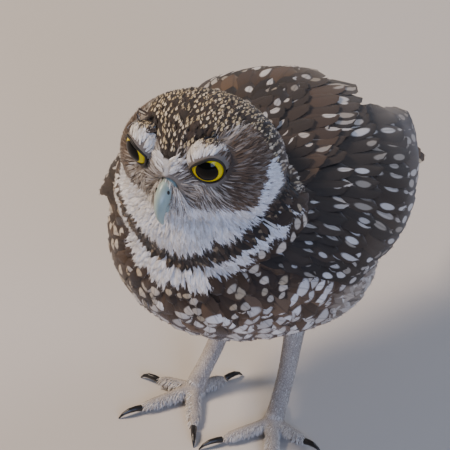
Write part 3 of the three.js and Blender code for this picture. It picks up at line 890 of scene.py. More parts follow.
@dataclass
class Skin:
    """The flesh under the coat, one smooth surface in place of the solids of flesh."""

    nodes: tuple[str, ...] = ("torso", "neck", "head", "thigh_left", "thigh_right")
    voxel_mm: float = 1.3
    smooth_turns: int = 14
    coat_mm: float = 1.3
    room_mm: float = 9.0
    behind_eye_mm: float = 0.5
    shade: float = 0.8
    points: np.ndarray = field(default_factory=lambda: np.zeros((0, 3)))
    normals: np.ndarray = field(default_factory=lambda: np.zeros((0, 3)))
    corners: np.ndarray = field(default_factory=lambda: np.zeros((0, 3), int))
    tree: BVHTree | None = None

    def make_room(self, points: np.ndarray) -> np.ndarray:
        """Moves the skin round each eye to just behind the eyeball's surface.

        Args:
            points: the skin's points.

        Returns:
            The points, those near an eye moved.
        """
        for side in (1, -1):
            centre, axes = eye_frame(side)
            local = (points - centre) @ axes
            off = np.hypot(local[:, 0], local[:, 1])
            reach = np.linalg.norm(local, axis=1)
            near = (local[:, 2] > -1) & (off < self.room_mm)
            shrink = np.where(near, np.minimum(1, (EYE_RADIUS - self.behind_eye_mm) / reach), 1)
            points = centre + (local * shrink[:, None]) @ axes.T
        return points

    def hug(self, line: np.ndarray, height: np.ndarray) -> np.ndarray:
        """Finds what moves points so that they lie at given heights over the skin.

        Args:
            line: any number of rows of points.
            height: how far above the skin each should be.

        Returns:
            A step for each point.
        """
        flat = line.reshape(-1, 3)
        found = [self.tree.find_nearest(q)[:2] for q in flat.tolist()]
        near = np.array([q[0][:] for q in found])
        normal = np.array([q[1][:] for q in found])
        above = np.sum((flat - near) * normal, axis=1)
        step = normal * (height.reshape(-1) - above)[:, None]
        return step.reshape(line.shape)

    def build(self) -> bpy.types.Object:
        """Joins, remeshes, smooths and sinks the flesh.

        Returns:
            The piece.
        """
        solid = remesh_solids("body_skin", self.nodes, self.voxel_mm, self.smooth_turns)
        shape = solid.data
        points, normals = read_vertices(shape)
        points = self.make_room(points - normals * self.coat_mm)
        shape.calc_loop_triangles()
        corners = np.empty(len(shape.loop_triangles) * 3, np.int32)
        shape.loop_triangles.foreach_get("vertices", corners)
        bpy.data.objects.remove(solid)
        bpy.data.meshes.remove(shape)
        self.points, self.normals, self.corners = points, normals, corners.reshape(-1, 3)
        self.tree = BVHTree.FromPolygons(points.tolist(), self.corners.tolist())
        piece = make_mesh("body_skin", points, self.corners)
        tract = find_tract(points, normals)
        base = np.array([rgb(COAT[t].ground[0]) for t in Tract])[tract] * self.shade
        set_colour(piece, "ground", base)
        set_uv(piece, "OFBake", unwrap(points))
        piece.data.materials.append(SkinFinish().build())
        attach(piece, "root")
        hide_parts(*self.nodes)
        return piece


def unwrap(p: np.ndarray) -> np.ndarray:
    """Unwraps points of the bird: the body round its long axis, the head round its upright one.

    Args:
        p: points in the bird's frame.

    Returns:
        u and v from 0 to 1, with a strip for the body and another for the head.
    """
    h = to_head(p)
    head = (np.linalg.norm(h / HEAD_HALF, axis=1) < 1.12) & (h[:, 2] > -22)
    turn = np.arctan2(p[:, 0], p[:, 2] - 90) / (2 * math.pi) + 0.5
    body = np.stack([0.02 + 0.6 * turn, 0.02 + 0.96 * (p[:, 1] + 60) / 200], -1)
    spin = np.arctan2(h[:, 0], -h[:, 1]) / (2 * math.pi) + 0.5
    tall = np.arcsin(np.clip(h[:, 2] / 27, -1, 1)) / math.pi + 0.5
    crown = np.stack([0.65 + 0.33 * spin, 0.02 + 0.96 * tall], -1)
    return np.clip(np.where(head[:, None], crown, body), 0.002, 0.994)


@dataclass
class VaneSet:
    """Vanes gathered for one mesh, each a small curved grid with its own marks."""

    name: str
    points: list = field(default_factory=list)
    faces: list = field(default_factory=list)
    vane: list = field(default_factory=list)
    bake: list = field(default_factory=list)
    ground: list = field(default_factory=list)
    mark: list = field(default_factory=list)
    rows: list = field(default_factory=list)
    web: list = field(default_factory=list)
    count: int = 0

    def add(self, grid: np.ndarray, roots: np.ndarray, ground: np.ndarray, mark: np.ndarray,
            rows: np.ndarray, web: np.ndarray, place: np.ndarray | None = None) -> None:
        """Adds many vanes of the same grid.

        Args:
            grid: vanes by rows along by columns across by three, in the bird's frame.
            roots: each vane's root, for its place in the bake.
            ground: each vane's own colour.
            mark: each vane's mark colour.
            rows: marks along each vane: how many, shift and half length.
            web: marks across each vane: place, half width and amount.
            place: where each grid lies on its feather, for barbs; all of it if left out.
        """
        vanes, along, across, _ = grid.shape
        each = along * across
        index = np.arange(each).reshape(along, across)
        quad = np.stack([index[:-1, :-1], index[:-1, 1:], index[1:, 1:], index[1:, :-1]], -1)
        quad = quad.reshape(-1, 4)
        start = self.count + np.arange(vanes)[:, None, None] * each
        self.faces.append((quad[None] + start).reshape(-1, 4))
        self.points.append(grid.reshape(-1, 3))
        v, u = np.meshgrid(np.linspace(0, 1, along), np.linspace(0, 1, across), indexing="ij")
        own = np.broadcast_to(np.stack([u, v], -1).reshape(1, -1, 2), (vanes, each, 2))
        if place is not None:
            own = place.reshape(vanes, each, 2)
        self.vane.append(own.reshape(-1, 2))
        patch = unwrap(roots)[:, None, :] + (own - 0.5) * BAKE_PATCH
        self.bake.append(patch.reshape(-1, 2))
        for store, value in ((self.ground, ground), (self.mark, mark), (self.rows, rows),
                             (self.web, web)):
            store.append(np.repeat(value, each, axis=0))
        self.count += vanes * each

    def build(self, material: bpy.types.Material, slot: str,
              replaces: tuple[str, ...] = ()) -> bpy.types.Object:
        """Makes the piece with its maps and attributes.

        Args:
            material: the finish of all its vanes.
            slot: not used.
            replaces: solids that the piece stands for.

        Returns:
            The piece.
        """
        low, high = np.array(CAD_BOX) / MM - ORIGIN
        points = np.clip(np.concatenate(self.points), low, high)
        piece = make_mesh(self.name, points, np.concatenate(self.faces))
        set_uv(piece, "OFBake", np.concatenate(self.bake))
        set_uv(piece, "Vane", np.concatenate(self.vane))
        for name in ("ground", "mark", "rows", "web"):
            set_colour(piece, name, np.concatenate(getattr(self, name)))
        piece.data.materials.append(material)
        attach(piece, "root")
        if replaces:
            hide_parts(*replaces)
        LOG.info("%s: %d faces", self.name, len(piece.data.polygons))
        return piece


def outline(l: np.ndarray) -> np.ndarray:
    """Gives a contour feather's half width along it, from narrow root to round tip."""
    keys = ((0, 0.45), (0.25, 0.82), (0.6, 1.0), (0.85, 0.86), (0.96, 0.5), (1, 0.12))
    return profile(keys, l)


def pick(rng: np.random.Generator, codes: tuple[str, ...], count: int,
         vary: float = 0.12) -> np.ndarray:
    """Draws a colour for each feather from a few, with a little change of tone.

    Args:
        rng: the seeded source of draws.
        codes: hex colours to draw from.
        count: how many feathers.
        vary: how much lighter or darker one may be.

    Returns:
        Linear colours, one row for each feather.
    """
    table = np.array([rgb(c) for c in codes])
    dark = table.mean(axis=1, keepdims=True) < 0.16
    table = np.where(dark, table * WARMTH, table)
    chosen = table[rng.integers(0, len(codes), count)]
    return chosen * (1 + vary * rng.uniform(-1, 1, (count, 1)))


def fray(grid: np.ndarray, marks: tuple, normal: np.ndarray, f: Feather,
         rng: np.random.Generator) -> tuple:
    """Grows loose barbs from the outer half of vanes, as slivers in the vane's own colours.

    Args:
        grid: vanes by rows along by columns across by three.
        marks: each vane's root, ground, mark, rows and web.
        normal: the skin's normal at each vane.
        f: the tract's feather.
        rng: the seeded source of draws.

    Returns:
        What VaneSet.add takes.
    """
    count, along, across, _ = grid.shape
    many = f.barbs
    row = np.clip(along - 1 - np.floor(rng.exponential(1.1, (count, many))), 1, along - 1)
    row = row.astype(int)
    col = rng.integers(0, across, (count, many))
    col = np.where(row < along - 1, np.where(col * 2 < across - 1, 0, across - 1), col)
    which = np.arange(count)[:, None]
    start = grid[which, row, col] * 0.7 + grid[which, row - 1, col] * 0.3
    ahead = unit(grid[which, row, col] - grid[which, row - 1, col])
    mid = (across - 1) / 2
    side = unit(grid[:, along // 2, -1] - grid[:, along // 2, 0])[:, None]
    off = (col - mid) / mid
    lean = (off * 0.55 + rng.normal(0, 0.28, (count, many)))[..., None]
    up = normal[:, None] * rng.normal(0.1, 0.14, (count, many))[..., None]
    way = unit(ahead + side * lean + up)
    long = f.barb_mm * rng.uniform(0.5, 1.2, (count, many))[..., None]
    thick = unit(np.cross(way, normal[:, None])) * f.barb_half
    back = start - way * long * 0.5
    end = start + way * long - normal[:, None] * long * 0.12
    tip = thick * 0.25
    ends = np.stack([np.stack([back - thick, back + thick], 2),
                     np.stack([end - tip, end + tip], 2)], 2)
    v = (row - 0.4) / (along - 1)
    u = np.clip(0.5 + off * 0.42, 0, 1)
    place = np.repeat(np.stack([u, v], -1)[:, :, None], 4, axis=2)
    spread = tuple(np.repeat(value, many, axis=0) for value in marks)
    return (ends.reshape(-1, 2, 2, 3), *spread, place.reshape(-1, 4, 2))


@dataclass
class Coat:
    """All the contour feathers that grow from the skin."""

    skin: Skin
    material: bpy.types.Material
    rng: np.random.Generator = field(default_factory=lambda: np.random.default_rng(SEED))
    crowding: int = 5
    packing: float = 0.82
    bill_bristles: int = 420
    room_over_eye: float = 8.5
    room_under_eye: float = 7.2
    bill_half: tuple[float, float] = (3.0, 5.5)
    lid_rings: tuple[float, float, float] = (39, 112, 5)
    lid_sweep: tuple[float, float] = (-34, 214)

    def roots(self) -> tuple[np.ndarray, np.ndarray, np.ndarray]:
        """Spreads feather roots over the skin at each tract's spacing.

        Returns:
            The roots, the normals there and each root's tract.
        """
        a, b, c = (self.skin.points[self.skin.corners[:, i]] for i in range(3))
        na, nb, nc = (self.skin.normals[self.skin.corners[:, i]] for i in range(3))
        area = np.linalg.norm(np.cross(b - a, c - a), axis=1) / 2
        centre = (a + b + c) / 3
        tract = find_tract(centre, unit(na + nb + nc))
        gap = np.array([COAT[t].spacing for t in Tract])
        weight = area / gap[tract] ** 2
        total = int(weight.sum() * self.crowding)
        chosen = self.rng.choice(len(area), total, p=weight / weight.sum())
        u, v = self.rng.random(total), self.rng.random(total)
        flip = u + v > 1
        u[flip], v[flip] = 1 - u[flip], 1 - v[flip]
        w = 1 - u - v
        p = a[chosen] * w[:, None] + b[chosen] * u[:, None] + c[chosen] * v[:, None]
        n = unit(na[chosen] * w[:, None] + nb[chosen] * u[:, None] + nc[chosen] * v[:, None])
        kind = find_tract(p, n)
        reach = gap[kind] * self.packing
        keep = []
        cells: dict[tuple[int, int, int, int], list[int]] = {}
        steps = [(i, j, k) for i in (-1, 0, 1) for j in (-1, 0, 1) for k in (-1, 0, 1)]
        cell = np.floor(p / reach[:, None]).astype(int)
        for i in range(total):
            t, (cx, cy, cz) = int(kind[i]), cell[i]
            near = [m for dx, dy, dz in steps
                    for m in cells.get((t, cx + dx, cy + dy, cz + dz), ())]
            if near and np.min(np.sum((p[near] - p[i]) ** 2, axis=1)) < reach[i] ** 2:
                continue
            cells.setdefault((t, cx, cy, cz), []).append(i)
            keep.append(i)
        return p[keep], n[keep], kind[keep]

    def clear(self, p: np.ndarray) -> np.ndarray:
        """Tells which roots are clear of the eyes and the bill.

        Args:
            p: roots in the bird's frame.

        Returns:
            True for each root that stays.
        """
        h = to_head(p)
        eyes = np.stack([np.sign(h[:, 0]) * EYE_PLACE[0], np.full(len(h), EYE_PLACE[1]),
                         np.full(len(h), EYE_PLACE[2])], -1)
        from_eye = h - eyes
        out = np.stack([np.sign(h[:, 0]) * math.sin(EYE_TURN),
                        np.full(len(h), -math.cos(EYE_TURN)), np.zeros(len(h))], -1)
        ahead = np.sum(from_eye * out, axis=1)
        off = np.linalg.norm(from_eye - ahead[:, None] * out, axis=1)
        above = from_eye[:, 2] > -1.0
        eye = (ahead > -2) & (off < np.where(above, self.room_over_eye,
                                               self.room_under_eye))
        wide, tall = self.bill_half
        bill = (np.hypot(h[:, 0] / wide, (h[:, 2] + 2.5) / tall) < 1) & (h[:, 1] < -10)
        return ~(eye | bill)

    def grow(self, p: np.ndarray, n: np.ndarray, kind: np.ndarray) -> dict[Tract, list]:
        """Shapes the vanes of each tract from their roots.

        Args:
            p: roots.
            n: normals at the roots.
            kind: the roots' tracts.

        Returns:
            For each tract its vanes and their barbs.
        """
        flow = lie(p, n, kind)
        grown = {}
        for tract in Tract:
            pick_here = kind == tract.value
            count = int(pick_here.sum())
            if not count:
                continue
            f = COAT[tract]
            grown[tract] = self.vanes(p[pick_here], n[pick_here], flow[pick_here], f)
        return grown

    def vanes(self, root: np.ndarray, normal: np.ndarray, flow: np.ndarray,
              f: Feather) -> list[tuple]:
        """Shapes one tract's vanes and draws their colours.

        Args:
            root: the vanes' roots.
            normal: the surface's normal at each root.
            flow: the way that each vane lies.
            f: the tract's feather.

        Returns:
            The vanes and their loose barbs, each as VaneSet.add takes them.
        """
        rng = self.rng
        count = len(root)
        side = np.cross(flow, normal)
        yaw = rng.normal(0, f.stray, count)[:, None]
        ahead = unit(flow * np.cos(yaw) + side * np.sin(yaw))
        side = unit(np.cross(ahead, normal))
        size = 1 + rng.uniform(-0.16, 0.16, count)
        length = (f.length * size)[:, None, None]
        half = (f.half * size * (1 + rng.uniform(-0.1, 0.1, count)))[:, None, None]
        l = np.linspace(0, 1, f.along + 1)[None, :, None]
        a = np.linspace(-1, 1, f.across + 1)[None, None, :]
        jag = 1 + f.jag * rng.uniform(-1, 1, (count, f.along + 1, f.across + 1)) * np.abs(a)
        width = half * outline(l) * jag
        tilt = rng.normal(0, 0.12, count)[:, None, None]
        base = -0.5 + (f.lift + 0.5) * l ** 0.8
        rise = base + 0.22 * half * (1 - a * a) + tilt * a * width
        rise = rise - (length * l) ** 2 / (2 * f.curve)
        grid = (root[:, None, None] + ahead[:, None, None] * (length * l)[..., None]
                + side[:, None, None] * (a * width)[..., None]
                + normal[:, None, None] * rise[..., None])
        if self.skin.tree and f.hug:
            middle = grid[:, :, f.across // 2] if f.across > 1 else grid.mean(axis=2)
            height = np.broadcast_to(base[..., 0] + 0.22 * half[..., 0], middle.shape[:2])
            grid = grid + self.skin.hug(middle, height)[:, :, None]
        ground = pick(rng, f.ground, count)
        mark = pick(rng, f.mark, count, 0.08)
        rows = np.tile([f.rows, f.shift % 1.0, f.mark_length], (count, 1))
        rows[:, 1] = (rows[:, 1] + rng.uniform(-0.04, 0.04, count)) % 1.0
        rows[:, 2] *= 1 + rng.uniform(-0.25, 0.25, count)
        web = np.tile([f.web, f.mark_width, f.amount], (count, 1))
        web[:, 1] *= 1 + rng.uniform(-0.2, 0.2, count)
        web[:, 2] *= rng.random(count) < f.share
        own = [(grid, root, ground, mark, rows, web)]
        if f.barbs:
            own.append(fray(grid, (root, ground, mark, rows, web), normal, f, rng))
        return own

    def lid_roots(self, side: int) -> tuple[np.ndarray, np.ndarray, np.ndarray]:
        """Spreads roots over the dome of one upper lid.

        Args:
            side: 1 for the left eye, -1 for the right.

        Returns:
            The roots, their outward normals and the way that they lie.
        """
        centre, axes = eye_frame(side)
        spin, polar = [], []
        for ring, angle in enumerate(np.radians(np.arange(*self.lid_rings))):
            many = int(34 * math.sin(angle)) + 8
            turn = np.radians(np.linspace(*self.lid_sweep, many))
            spin.append(turn + self.rng.normal(0, 0.05, many))
            polar.append(np.full(many, angle) + self.rng.normal(0, 0.03, many) + 0.01 * ring)
        spin, polar = np.concatenate(spin), np.concatenate(polar)
        opening = lid_opening(spin, side) + 1.0
        clear = (polar > math.radians(80)) | (np.sin(polar) * (EYE_RADIUS + 0.75) > opening)
        spin, polar = spin[clear], polar[clear]
        out = np.stack([np.sin(polar) * np.cos(spin), np.sin(polar) * np.sin(spin),
                        np.cos(polar)], -1)
        away = np.stack([np.cos(polar) * np.cos(spin), np.cos(polar) * np.sin(spin),
                         -np.sin(polar)], -1)
        sweep = np.array([side * 0.85, 0.35, -0.25])
        way = away + sweep
        way = unit(way - out * np.sum(way * out, axis=1, keepdims=True))
        root = centre + (out * (EYE_RADIUS + 0.75)) @ axes.T
        return root, out @ axes.T, way @ axes.T

    def bristles(self, vanes: "VaneSet") -> None:
        """Grows long fine bristles from round the bill, over its base and sides.

        Args:
            vanes: the set that they go into.
        """
        count = self.bill_bristles
        rng = self.rng
        turn = rng.uniform(-0.25, math.pi + 0.25, count)
        side = np.cos(turn)
        high = np.sin(turn)
        reach = rng.uniform(3.4, 6.4, count)
        h = np.stack([side * reach, -23.5 + 0.05 * reach + 0.9 * (1 - high),
                      1.6 + high * reach * 0.9 - 2.4 * np.abs(side)], -1)
        way = np.stack([side * rng.uniform(0.15, 0.9, count), -rng.uniform(0.35, 0.9, count),
                        -rng.uniform(0.7, 1.4, count)], -1)
        out = unit(np.stack([side * 0.7, np.full(count, -1.0), np.full(count, 0.6)], -1))
        way = unit(way - out * np.sum(way * out, axis=1, keepdims=True) * 0.6)
        f = replace(COAT[Tract.DISC], length=7.5, half=0.13, lift=1.0, curve=11.0, hug=False,
                    ground=("efedea", "dcd8d4", "cfcac5", "6b625a"))
        for part in self.vanes(from_head(h), out @ HEAD_TURN.T, way @ HEAD_TURN.T, f):
            vanes.add(*part)

    def lids(self, vanes: "VaneSet") -> None:
        """Grows the short feathers of both upper lids.

        Args:
            vanes: the set that they go into.
        """
        for side in (1, -1):
            root, normal, way = self.lid_roots(side)
            h = to_head(root)
            outer = smoothstep(np.abs(h[:, 0]), 17, 22) * (h[:, 2] < 18)
            above = (h[:, 2] > EYE_PLACE[2] + 7.4) & (np.abs(h[:, 0]) > 9)
            dark = (self.rng.random(len(root)) < outer) & ~above
            for chosen, tract in ((dark, Tract.EAR), (above, Tract.CROWN),
                                  (~dark & ~above, Tract.BROW)):
                short = replace(COAT[tract], length=3.8, lift=0.5, curve=8.0, hug=False)
                for part in self.vanes(root[chosen], normal[chosen], way[chosen], short):
                    vanes.add(*part)

    def build(self) -> list[bpy.types.Object]:
        """Makes the coat.

        Returns:
            Its pieces, some tracts in each.
        """
        p, n, kind = self.roots()
        keep = self.clear(p)
        grown = self.grow(p[keep], n[keep], kind[keep])
        groups = {
            "plumage_crown": (Tract.CROWN, Tract.NAPE),
            "plumage_face": (Tract.BROW, Tract.DISC, Tract.EAR, Tract.RIM),
            "plumage_throat": (Tract.THROAT, Tract.BAND_DARK, Tract.BAND_WHITE),
            "plumage_breast": (Tract.BREAST,),
            "plumage_belly": (Tract.BELLY, Tract.FLANK, Tract.THIGH),
            "plumage_back": (Tract.BACK, Tract.RUMP),
        }
        pieces = []
        for name, tracts in groups.items():
            vanes = VaneSet(name)
            for tract in tracts:
                for part in grown.get(tract, ()):
                    vanes.add(*part)
            if Tract.BROW in tracts:
                self.lids(vanes)
                self.bristles(vanes)
            slot = "feathers_belly" if name in ("plumage_belly", "plumage_throat") \
                else "feathers_brown"
            pieces.append(vanes.build(self.material, slot))
        return pieces


def mantle(y: np.ndarray, turn: np.ndarray, h: np.ndarray, side: int) -> np.ndarray:
    """Gives points over the mantle.

    Args:
        y: the place along the bird.
        turn: the angle above level, in degrees.
        h: the height over the mantle.
        side: 1 for the left side, -1 for the right.

    Returns:
        The points in the bird's frame.
    """
    t = np.radians(turn)
    x = (profile(MANTLE_A, y) + h) * np.cos(t)
    z = profile(MANTLE_Z, y) + (profile(MANTLE_B, y) + h) * np.sin(t)
    return np.stack([side * x, y, z], -1)


@dataclass(frozen=True)
class Tier:
    """One row of wing feathers, from the shoulder to the rump.

    start and end are (y, turn) corners of the lines that roots and tips follow. half is the
    half width, lift and base the heights of tip and root, rows and web the marks along and
    across, and share how many feathers have marks.
    """

    count: int
    start: tuple[tuple[float, float], ...]
    end: tuple[tuple[float, float], ...]
    half: float
    lift: float
    rows: tuple[float, float, float]
    web: tuple[float, float, float]
    ground: tuple[str, ...] = ("2a211a", "211914", "342a22")
    mark: tuple[str, ...] = ("b5aea7", "9c9388", "c9c5c2", "d8d5d3")
    base: float = 1.0
    along: int = 14
    share: float = 0.85


WING_TIERS = (
    Tier(7, ((30, -4), (38, 10), (48, 26)), ((88, 4), (98, 22), (110, 44)), 6.0, 1.6,
         (6.0, 0.2, 0.24), (0.55, 0.22, 0.8), along=18),
    Tier(17, ((-8, 14), (14, 22), (36, 34), (58, 48)),
         ((12, -13), (44, -12), (74, 6), (104, 40)), 6.0, 2.1, (4.0, 0.6, 0.34),
         (0.5, 0.25, 0.95), share=0.95),
    Tier(17, ((-13, 22), (6, 34), (26, 46), (44, 62)),
         ((4, -5), (29, -2), (57, 18), (82, 50)), 5.4, 2.5, (3.0, 0.6, 0.34), (0.5, 0.25, 0.95),
         along=14, share=0.9),
    Tier(17, ((-17, 30), (-4, 42), (12, 56), (24, 70)),
         ((-6, 4), (16, 10), (38, 32), (62, 62)), 4.6, 2.8, (1.0, 0.66, 0.14),
         (0.45, 0.27, 0.95), along=12, share=0.9),
    Tier(17, ((-21, 34), (-12, 48), (0, 62), (8, 76)),
         ((-14, 10), (3, 22), (22, 44), (44, 72)), 4.0, 3.0, (1.0, 0.68, 0.13),
         (0.4, 0.27, 0.95), along=12, share=0.85),
    Tier(16, ((-24, 38), (-19, 52), (-10, 66), (-4, 80)),
         ((-19, 16), (-7, 30), (8, 54), (24, 80)), 3.4, 3.1, (1.0, 0.68, 0.11), (0.0, 0.28, 0.9),
         along=10, share=0.75),
    Tier(14, ((-26, 44), (-24, 56), (-18, 70), (-14, 84)),
         ((-23, 24), (-15, 38), (-4, 60), (8, 82)), 3.0, 3.0, (1.0, 0.68, 0.11), (0.0, 0.28, 0.9),
         along=8, share=0.75),
)
SCAPULARS = (
    Tier(9, ((8, 76), (24, 84), (44, 90)), ((28, 54), (52, 60), (78, 76)), 5.2, 3.2,
         (1.0, 0.66, 0.12), (0.42, 0.27, 0.95), base=1.6, along=14),
    Tier(9, ((-8, 74), (8, 82), (28, 90)), ((14, 54), (36, 60), (62, 76)), 4.8, 3.5,
         (1.0, 0.66, 0.12), (0.42, 0.27, 0.95), ("4a3b2e", "5a4a3a", "3b2e24"), base=1.6,
         along=14),
    Tier(9, ((-16, 70), (-6, 80), (12, 92)), ((0, 54), (18, 62), (44, 80)), 4.2, 3.6,
         (1.0, 0.68, 0.09), (0.0, 0.34, 0.9), base=1.6, along=12),
    Tier(10, ((-16, 86), (4, 92), (34, 94)), ((2, 78), (24, 82), (60, 88)), 4.4, 3.8,
         (1.0, 0.68, 0.09), (0.0, 0.36, 0.9), base=2.2, along=12),
    Tier(9, ((-18, 96), (0, 98), (24, 98)), ((-2, 90), (18, 92), (46, 92)), 4.0, 4.0,
         (1.0, 0.68, 0.11), (0.0, 0.28, 0.9), base=2.6, along=10),
)


@dataclass
class FoldedWing:
    """One folded wing: tiers of vanes over the side of the body."""

    side: int
    material: bpy.types.Material
    rng: np.random.Generator
    widest: float = 54.9
    across: int = 7

    def tier(self, t: Tier) -> list[tuple]:
        """Shapes the vanes of one tier.

        Args:
            t: the tier.

        Returns:
            The vanes and their loose barbs, each as VaneSet.add takes them.
        """
        k = np.linspace(0, 1, t.count)
        ends = [[profile(tuple(zip(np.linspace(0, 1, len(line)), [c[i] for c in line])), k)
                 [:, None, None] for i in (0, 1)] for line in (t.start, t.end)]
        l = np.linspace(0, 1, t.along + 1)[None, :, None]
        a = np.linspace(-1, 1, self.across)[None, None, :]
        rng = self.rng
        shake = rng.normal(0, 1, (t.count, 4))[:, :, None, None]
        y0, s0 = ends[0]
        y1, s1 = ends[1][0] + 1.2 * shake[:, 1], ends[1][1] + 1.2 * shake[:, 2]
        y0 = y0 + 0.8 * shake[:, 0]
        y = y0 + (y1 - y0) * l
        turn = s0 + (s1 - s0) * l
        shape = (t.count, t.along + 1, self.across)
        jag = 1 + 0.05 * rng.uniform(-1, 1, shape) * np.abs(a)
        w = t.half * outline(l) * jag
        per_degree = math.radians(1) * (profile(MANTLE_A, y) + profile(MANTLE_B, y)) / 2
        run, fall = y1 - y0, (s1 - s0) * per_degree
        size = np.hypot(run, fall)
        h = t.base * (1 - l) - 0.2 + t.lift * l + 0.5 * (1 - a * a)
        h = h + 0.8 * a * l + 0.12 * shake[:, 3]
        y = y + a * w * fall / size - 0.25 * w * np.abs(a) * l * run / size
        turn = turn - (a * w * run / size + 0.25 * w * np.abs(a) * l * fall / size) / per_degree
        grid = mantle(y, turn, h, self.side)
        grid[..., 0] = np.clip(grid[..., 0], -self.widest, self.widest)
        root = grid[:, 0, self.across // 2]
        count = t.count
        ground = pick(rng, t.ground, count, 0.1)
        mark = pick(rng, t.mark, count, 0.06)
        rows = np.tile(t.rows, (count, 1)) * (1 + rng.uniform(-0.1, 0.1, (count, 3)))
        rows[:, 1] += rng.uniform(-0.12, 0.12, count)
        rows[:, 2] *= rng.uniform(0.6, 1.3, count)
        web = np.tile(t.web, (count, 1)) * (1 + rng.uniform(-0.15, 0.15, (count, 3)))
        web[:, 2] *= rng.random(count) < t.share
        web[:, 0] *= rng.random(count) < 0.65
        if self.side < 0:
            grid = grid[:, :, ::-1]
        out = unit(root - np.array([0.0, 30.0, 90.0]))
        loose = Feather(1, 1, 1, (), barbs=14, barb_mm=1.3, barb_half=0.06)
        return [(grid, root, ground, mark, rows, web),
                fray(grid, (root, ground, mark, rows, web), out, loose, rng)]

    def build(self) -> bpy.types.Object:
        """Makes the wing.

        Returns:
            The piece.
        """
        word = "left" if self.side > 0 else "right"
        vanes = VaneSet(f"wing_feathers_{word}")
        for t in WING_TIERS + SCAPULARS:
            for part in self.tier(t):
                vanes.add(*part)
        return vanes.build(self.material, "feathers_brown", (f"wing_{word}",))


@dataclass
class Tail:
    """Twelve tail feathers in a narrow fan, under a row of coverts."""

    material: bpy.types.Material
    rng: np.random.Generator
    count: int = 12
    along: int = 15
    across: int = 7
    layers: tuple = ((TAIL_LENGTH, 6.4, 0.0, (5.0, 0.1, 0.17), 1.0, ("4c3f35", "42362e")),
                     (34.0, 6.0, 1.0, (2.0, 0.2, 0.14), 1.0, ("4c3f35", "42362e")),
                     (30.0, 6.4, -2.6, (1.0, 0.7, 0.1), 0.2, ("d8d0c6",)))

    def blade(self, i: np.ndarray, length: float, half: float, raise_mm: float) -> np.ndarray:
        """Shapes the vanes of one layer of the tail.

        Args:
            i: the vanes' numbers across the tail.
            length: the vanes' length.
            half: their half width.
            raise_mm: the layer's height over the middle one.

        Returns:
            Vanes by rows along by columns across by three.
        """
        middle = (self.count - 1) / 2
        off = (i - middle)[:, None, None]
        fan = off / middle * TAIL_FAN
        l = np.linspace(0, 1, self.along)[None, :, None]
        a = np.linspace(-1, 1, self.across)[None, None, :]
        shake = self.rng.uniform(-1, 1, (len(i), self.along, self.across))
        w = half * outline(l) * (1 + 0.04 * shake)
        reach = length * (1 - 0.05 * np.abs(off) / middle)
        out = np.sin(fan) * reach * l + a * w * np.cos(fan) + off * 0.95
        back = np.broadcast_to(np.cos(fan) * reach * l, out.shape)
        rise = 2.3 * (1 - np.abs(off) / middle) + np.where(off > 0, 0.5, 0.0)
        h = rise * (0.35 + 0.65 * l) - 0.012 * out ** 2 + raise_mm
        x = TAIL_ROOT[0] + out
        y = TAIL_ROOT[1] + back * math.cos(TAIL_DROP) + h * math.sin(TAIL_DROP)
        z = TAIL_ROOT[2] - back * math.sin(TAIL_DROP) + h * math.cos(TAIL_DROP)
        return np.stack([x, y, z], -1)

    def build(self) -> bpy.types.Object:
        """Makes the tail.

        Returns:
            The piece.
        """
        vanes = VaneSet("tail_feathers")
        for length, half, up, rows, amount, brown in self.layers:
            i = np.arange(self.count, dtype=float)
            grid = self.blade(i, length, half, up)
            n = len(i)
            ground = pick(self.rng, brown, n)
            mark = pick(self.rng, ("d9ccb4", "cdbc9d"), n)
            marks = np.tile(rows, (n, 1))
            marks[:, 1] += self.rng.uniform(-0.12, 0.12, n)
            marks[:, 2] *= self.rng.uniform(0.7, 1.2, n)
            web = np.tile((0.45, 0.6, 0.8 * amount), (n, 1))
            web[:, 1] *= self.rng.uniform(0.6, 1.2, n)
            root, up_way = grid[:, 0, self.across // 2], np.tile([0.0, 0.35, 0.93], (n, 1))
            loose = Feather(1, 1, 1, (), barbs=14, barb_mm=1.4, barb_half=0.06)
            vanes.add(grid, root, ground, mark, marks, web)
            vanes.add(*fray(grid, (root, ground, mark, marks, web), up_way, loose, self.rng))
        return vanes.build(self.material, "feathers_brown", ("tail",))


def on_sphere(radius: np.ndarray, polar: np.ndarray, spin: np.ndarray) -> np.ndarray:
    """Gives points across, up and out from a centre.

    Args:
        radius: the distance from the centre.
        polar: the angle from the axis out.
        spin: the angle round that axis, from across to up.

    Returns:
        The points.
    """
    ring = radius * np.sin(polar)
    out = np.broadcast_to(radius * np.cos(polar), np.broadcast_shapes(ring.shape, spin.shape))
    return np.stack([ring * np.cos(spin), ring * np.sin(spin), out], -1)


def eye_frame(side: int) -> tuple[np.ndarray, np.ndarray]:
    """Gives an eye's centre and its axes: across, up and out, as columns.

    Args:
        side: 1 for the left eye, -1 for the right.

    Returns:
        The centre in the bird's frame and a 3 by 3 matrix.
    """
    place = EYE_PLACE * np.array([side, 1, 1])
    out = np.array([side * math.sin(EYE_TURN), -math.cos(EYE_TURN), 0.0])
    across = np.array([math.cos(EYE_TURN), side * math.sin(EYE_TURN), 0.0])
    axes = HEAD_TURN @ np.stack([across, np.array([0.0, 0.0, 1.0]), out], -1)
    return from_head(place[None])[0], axes


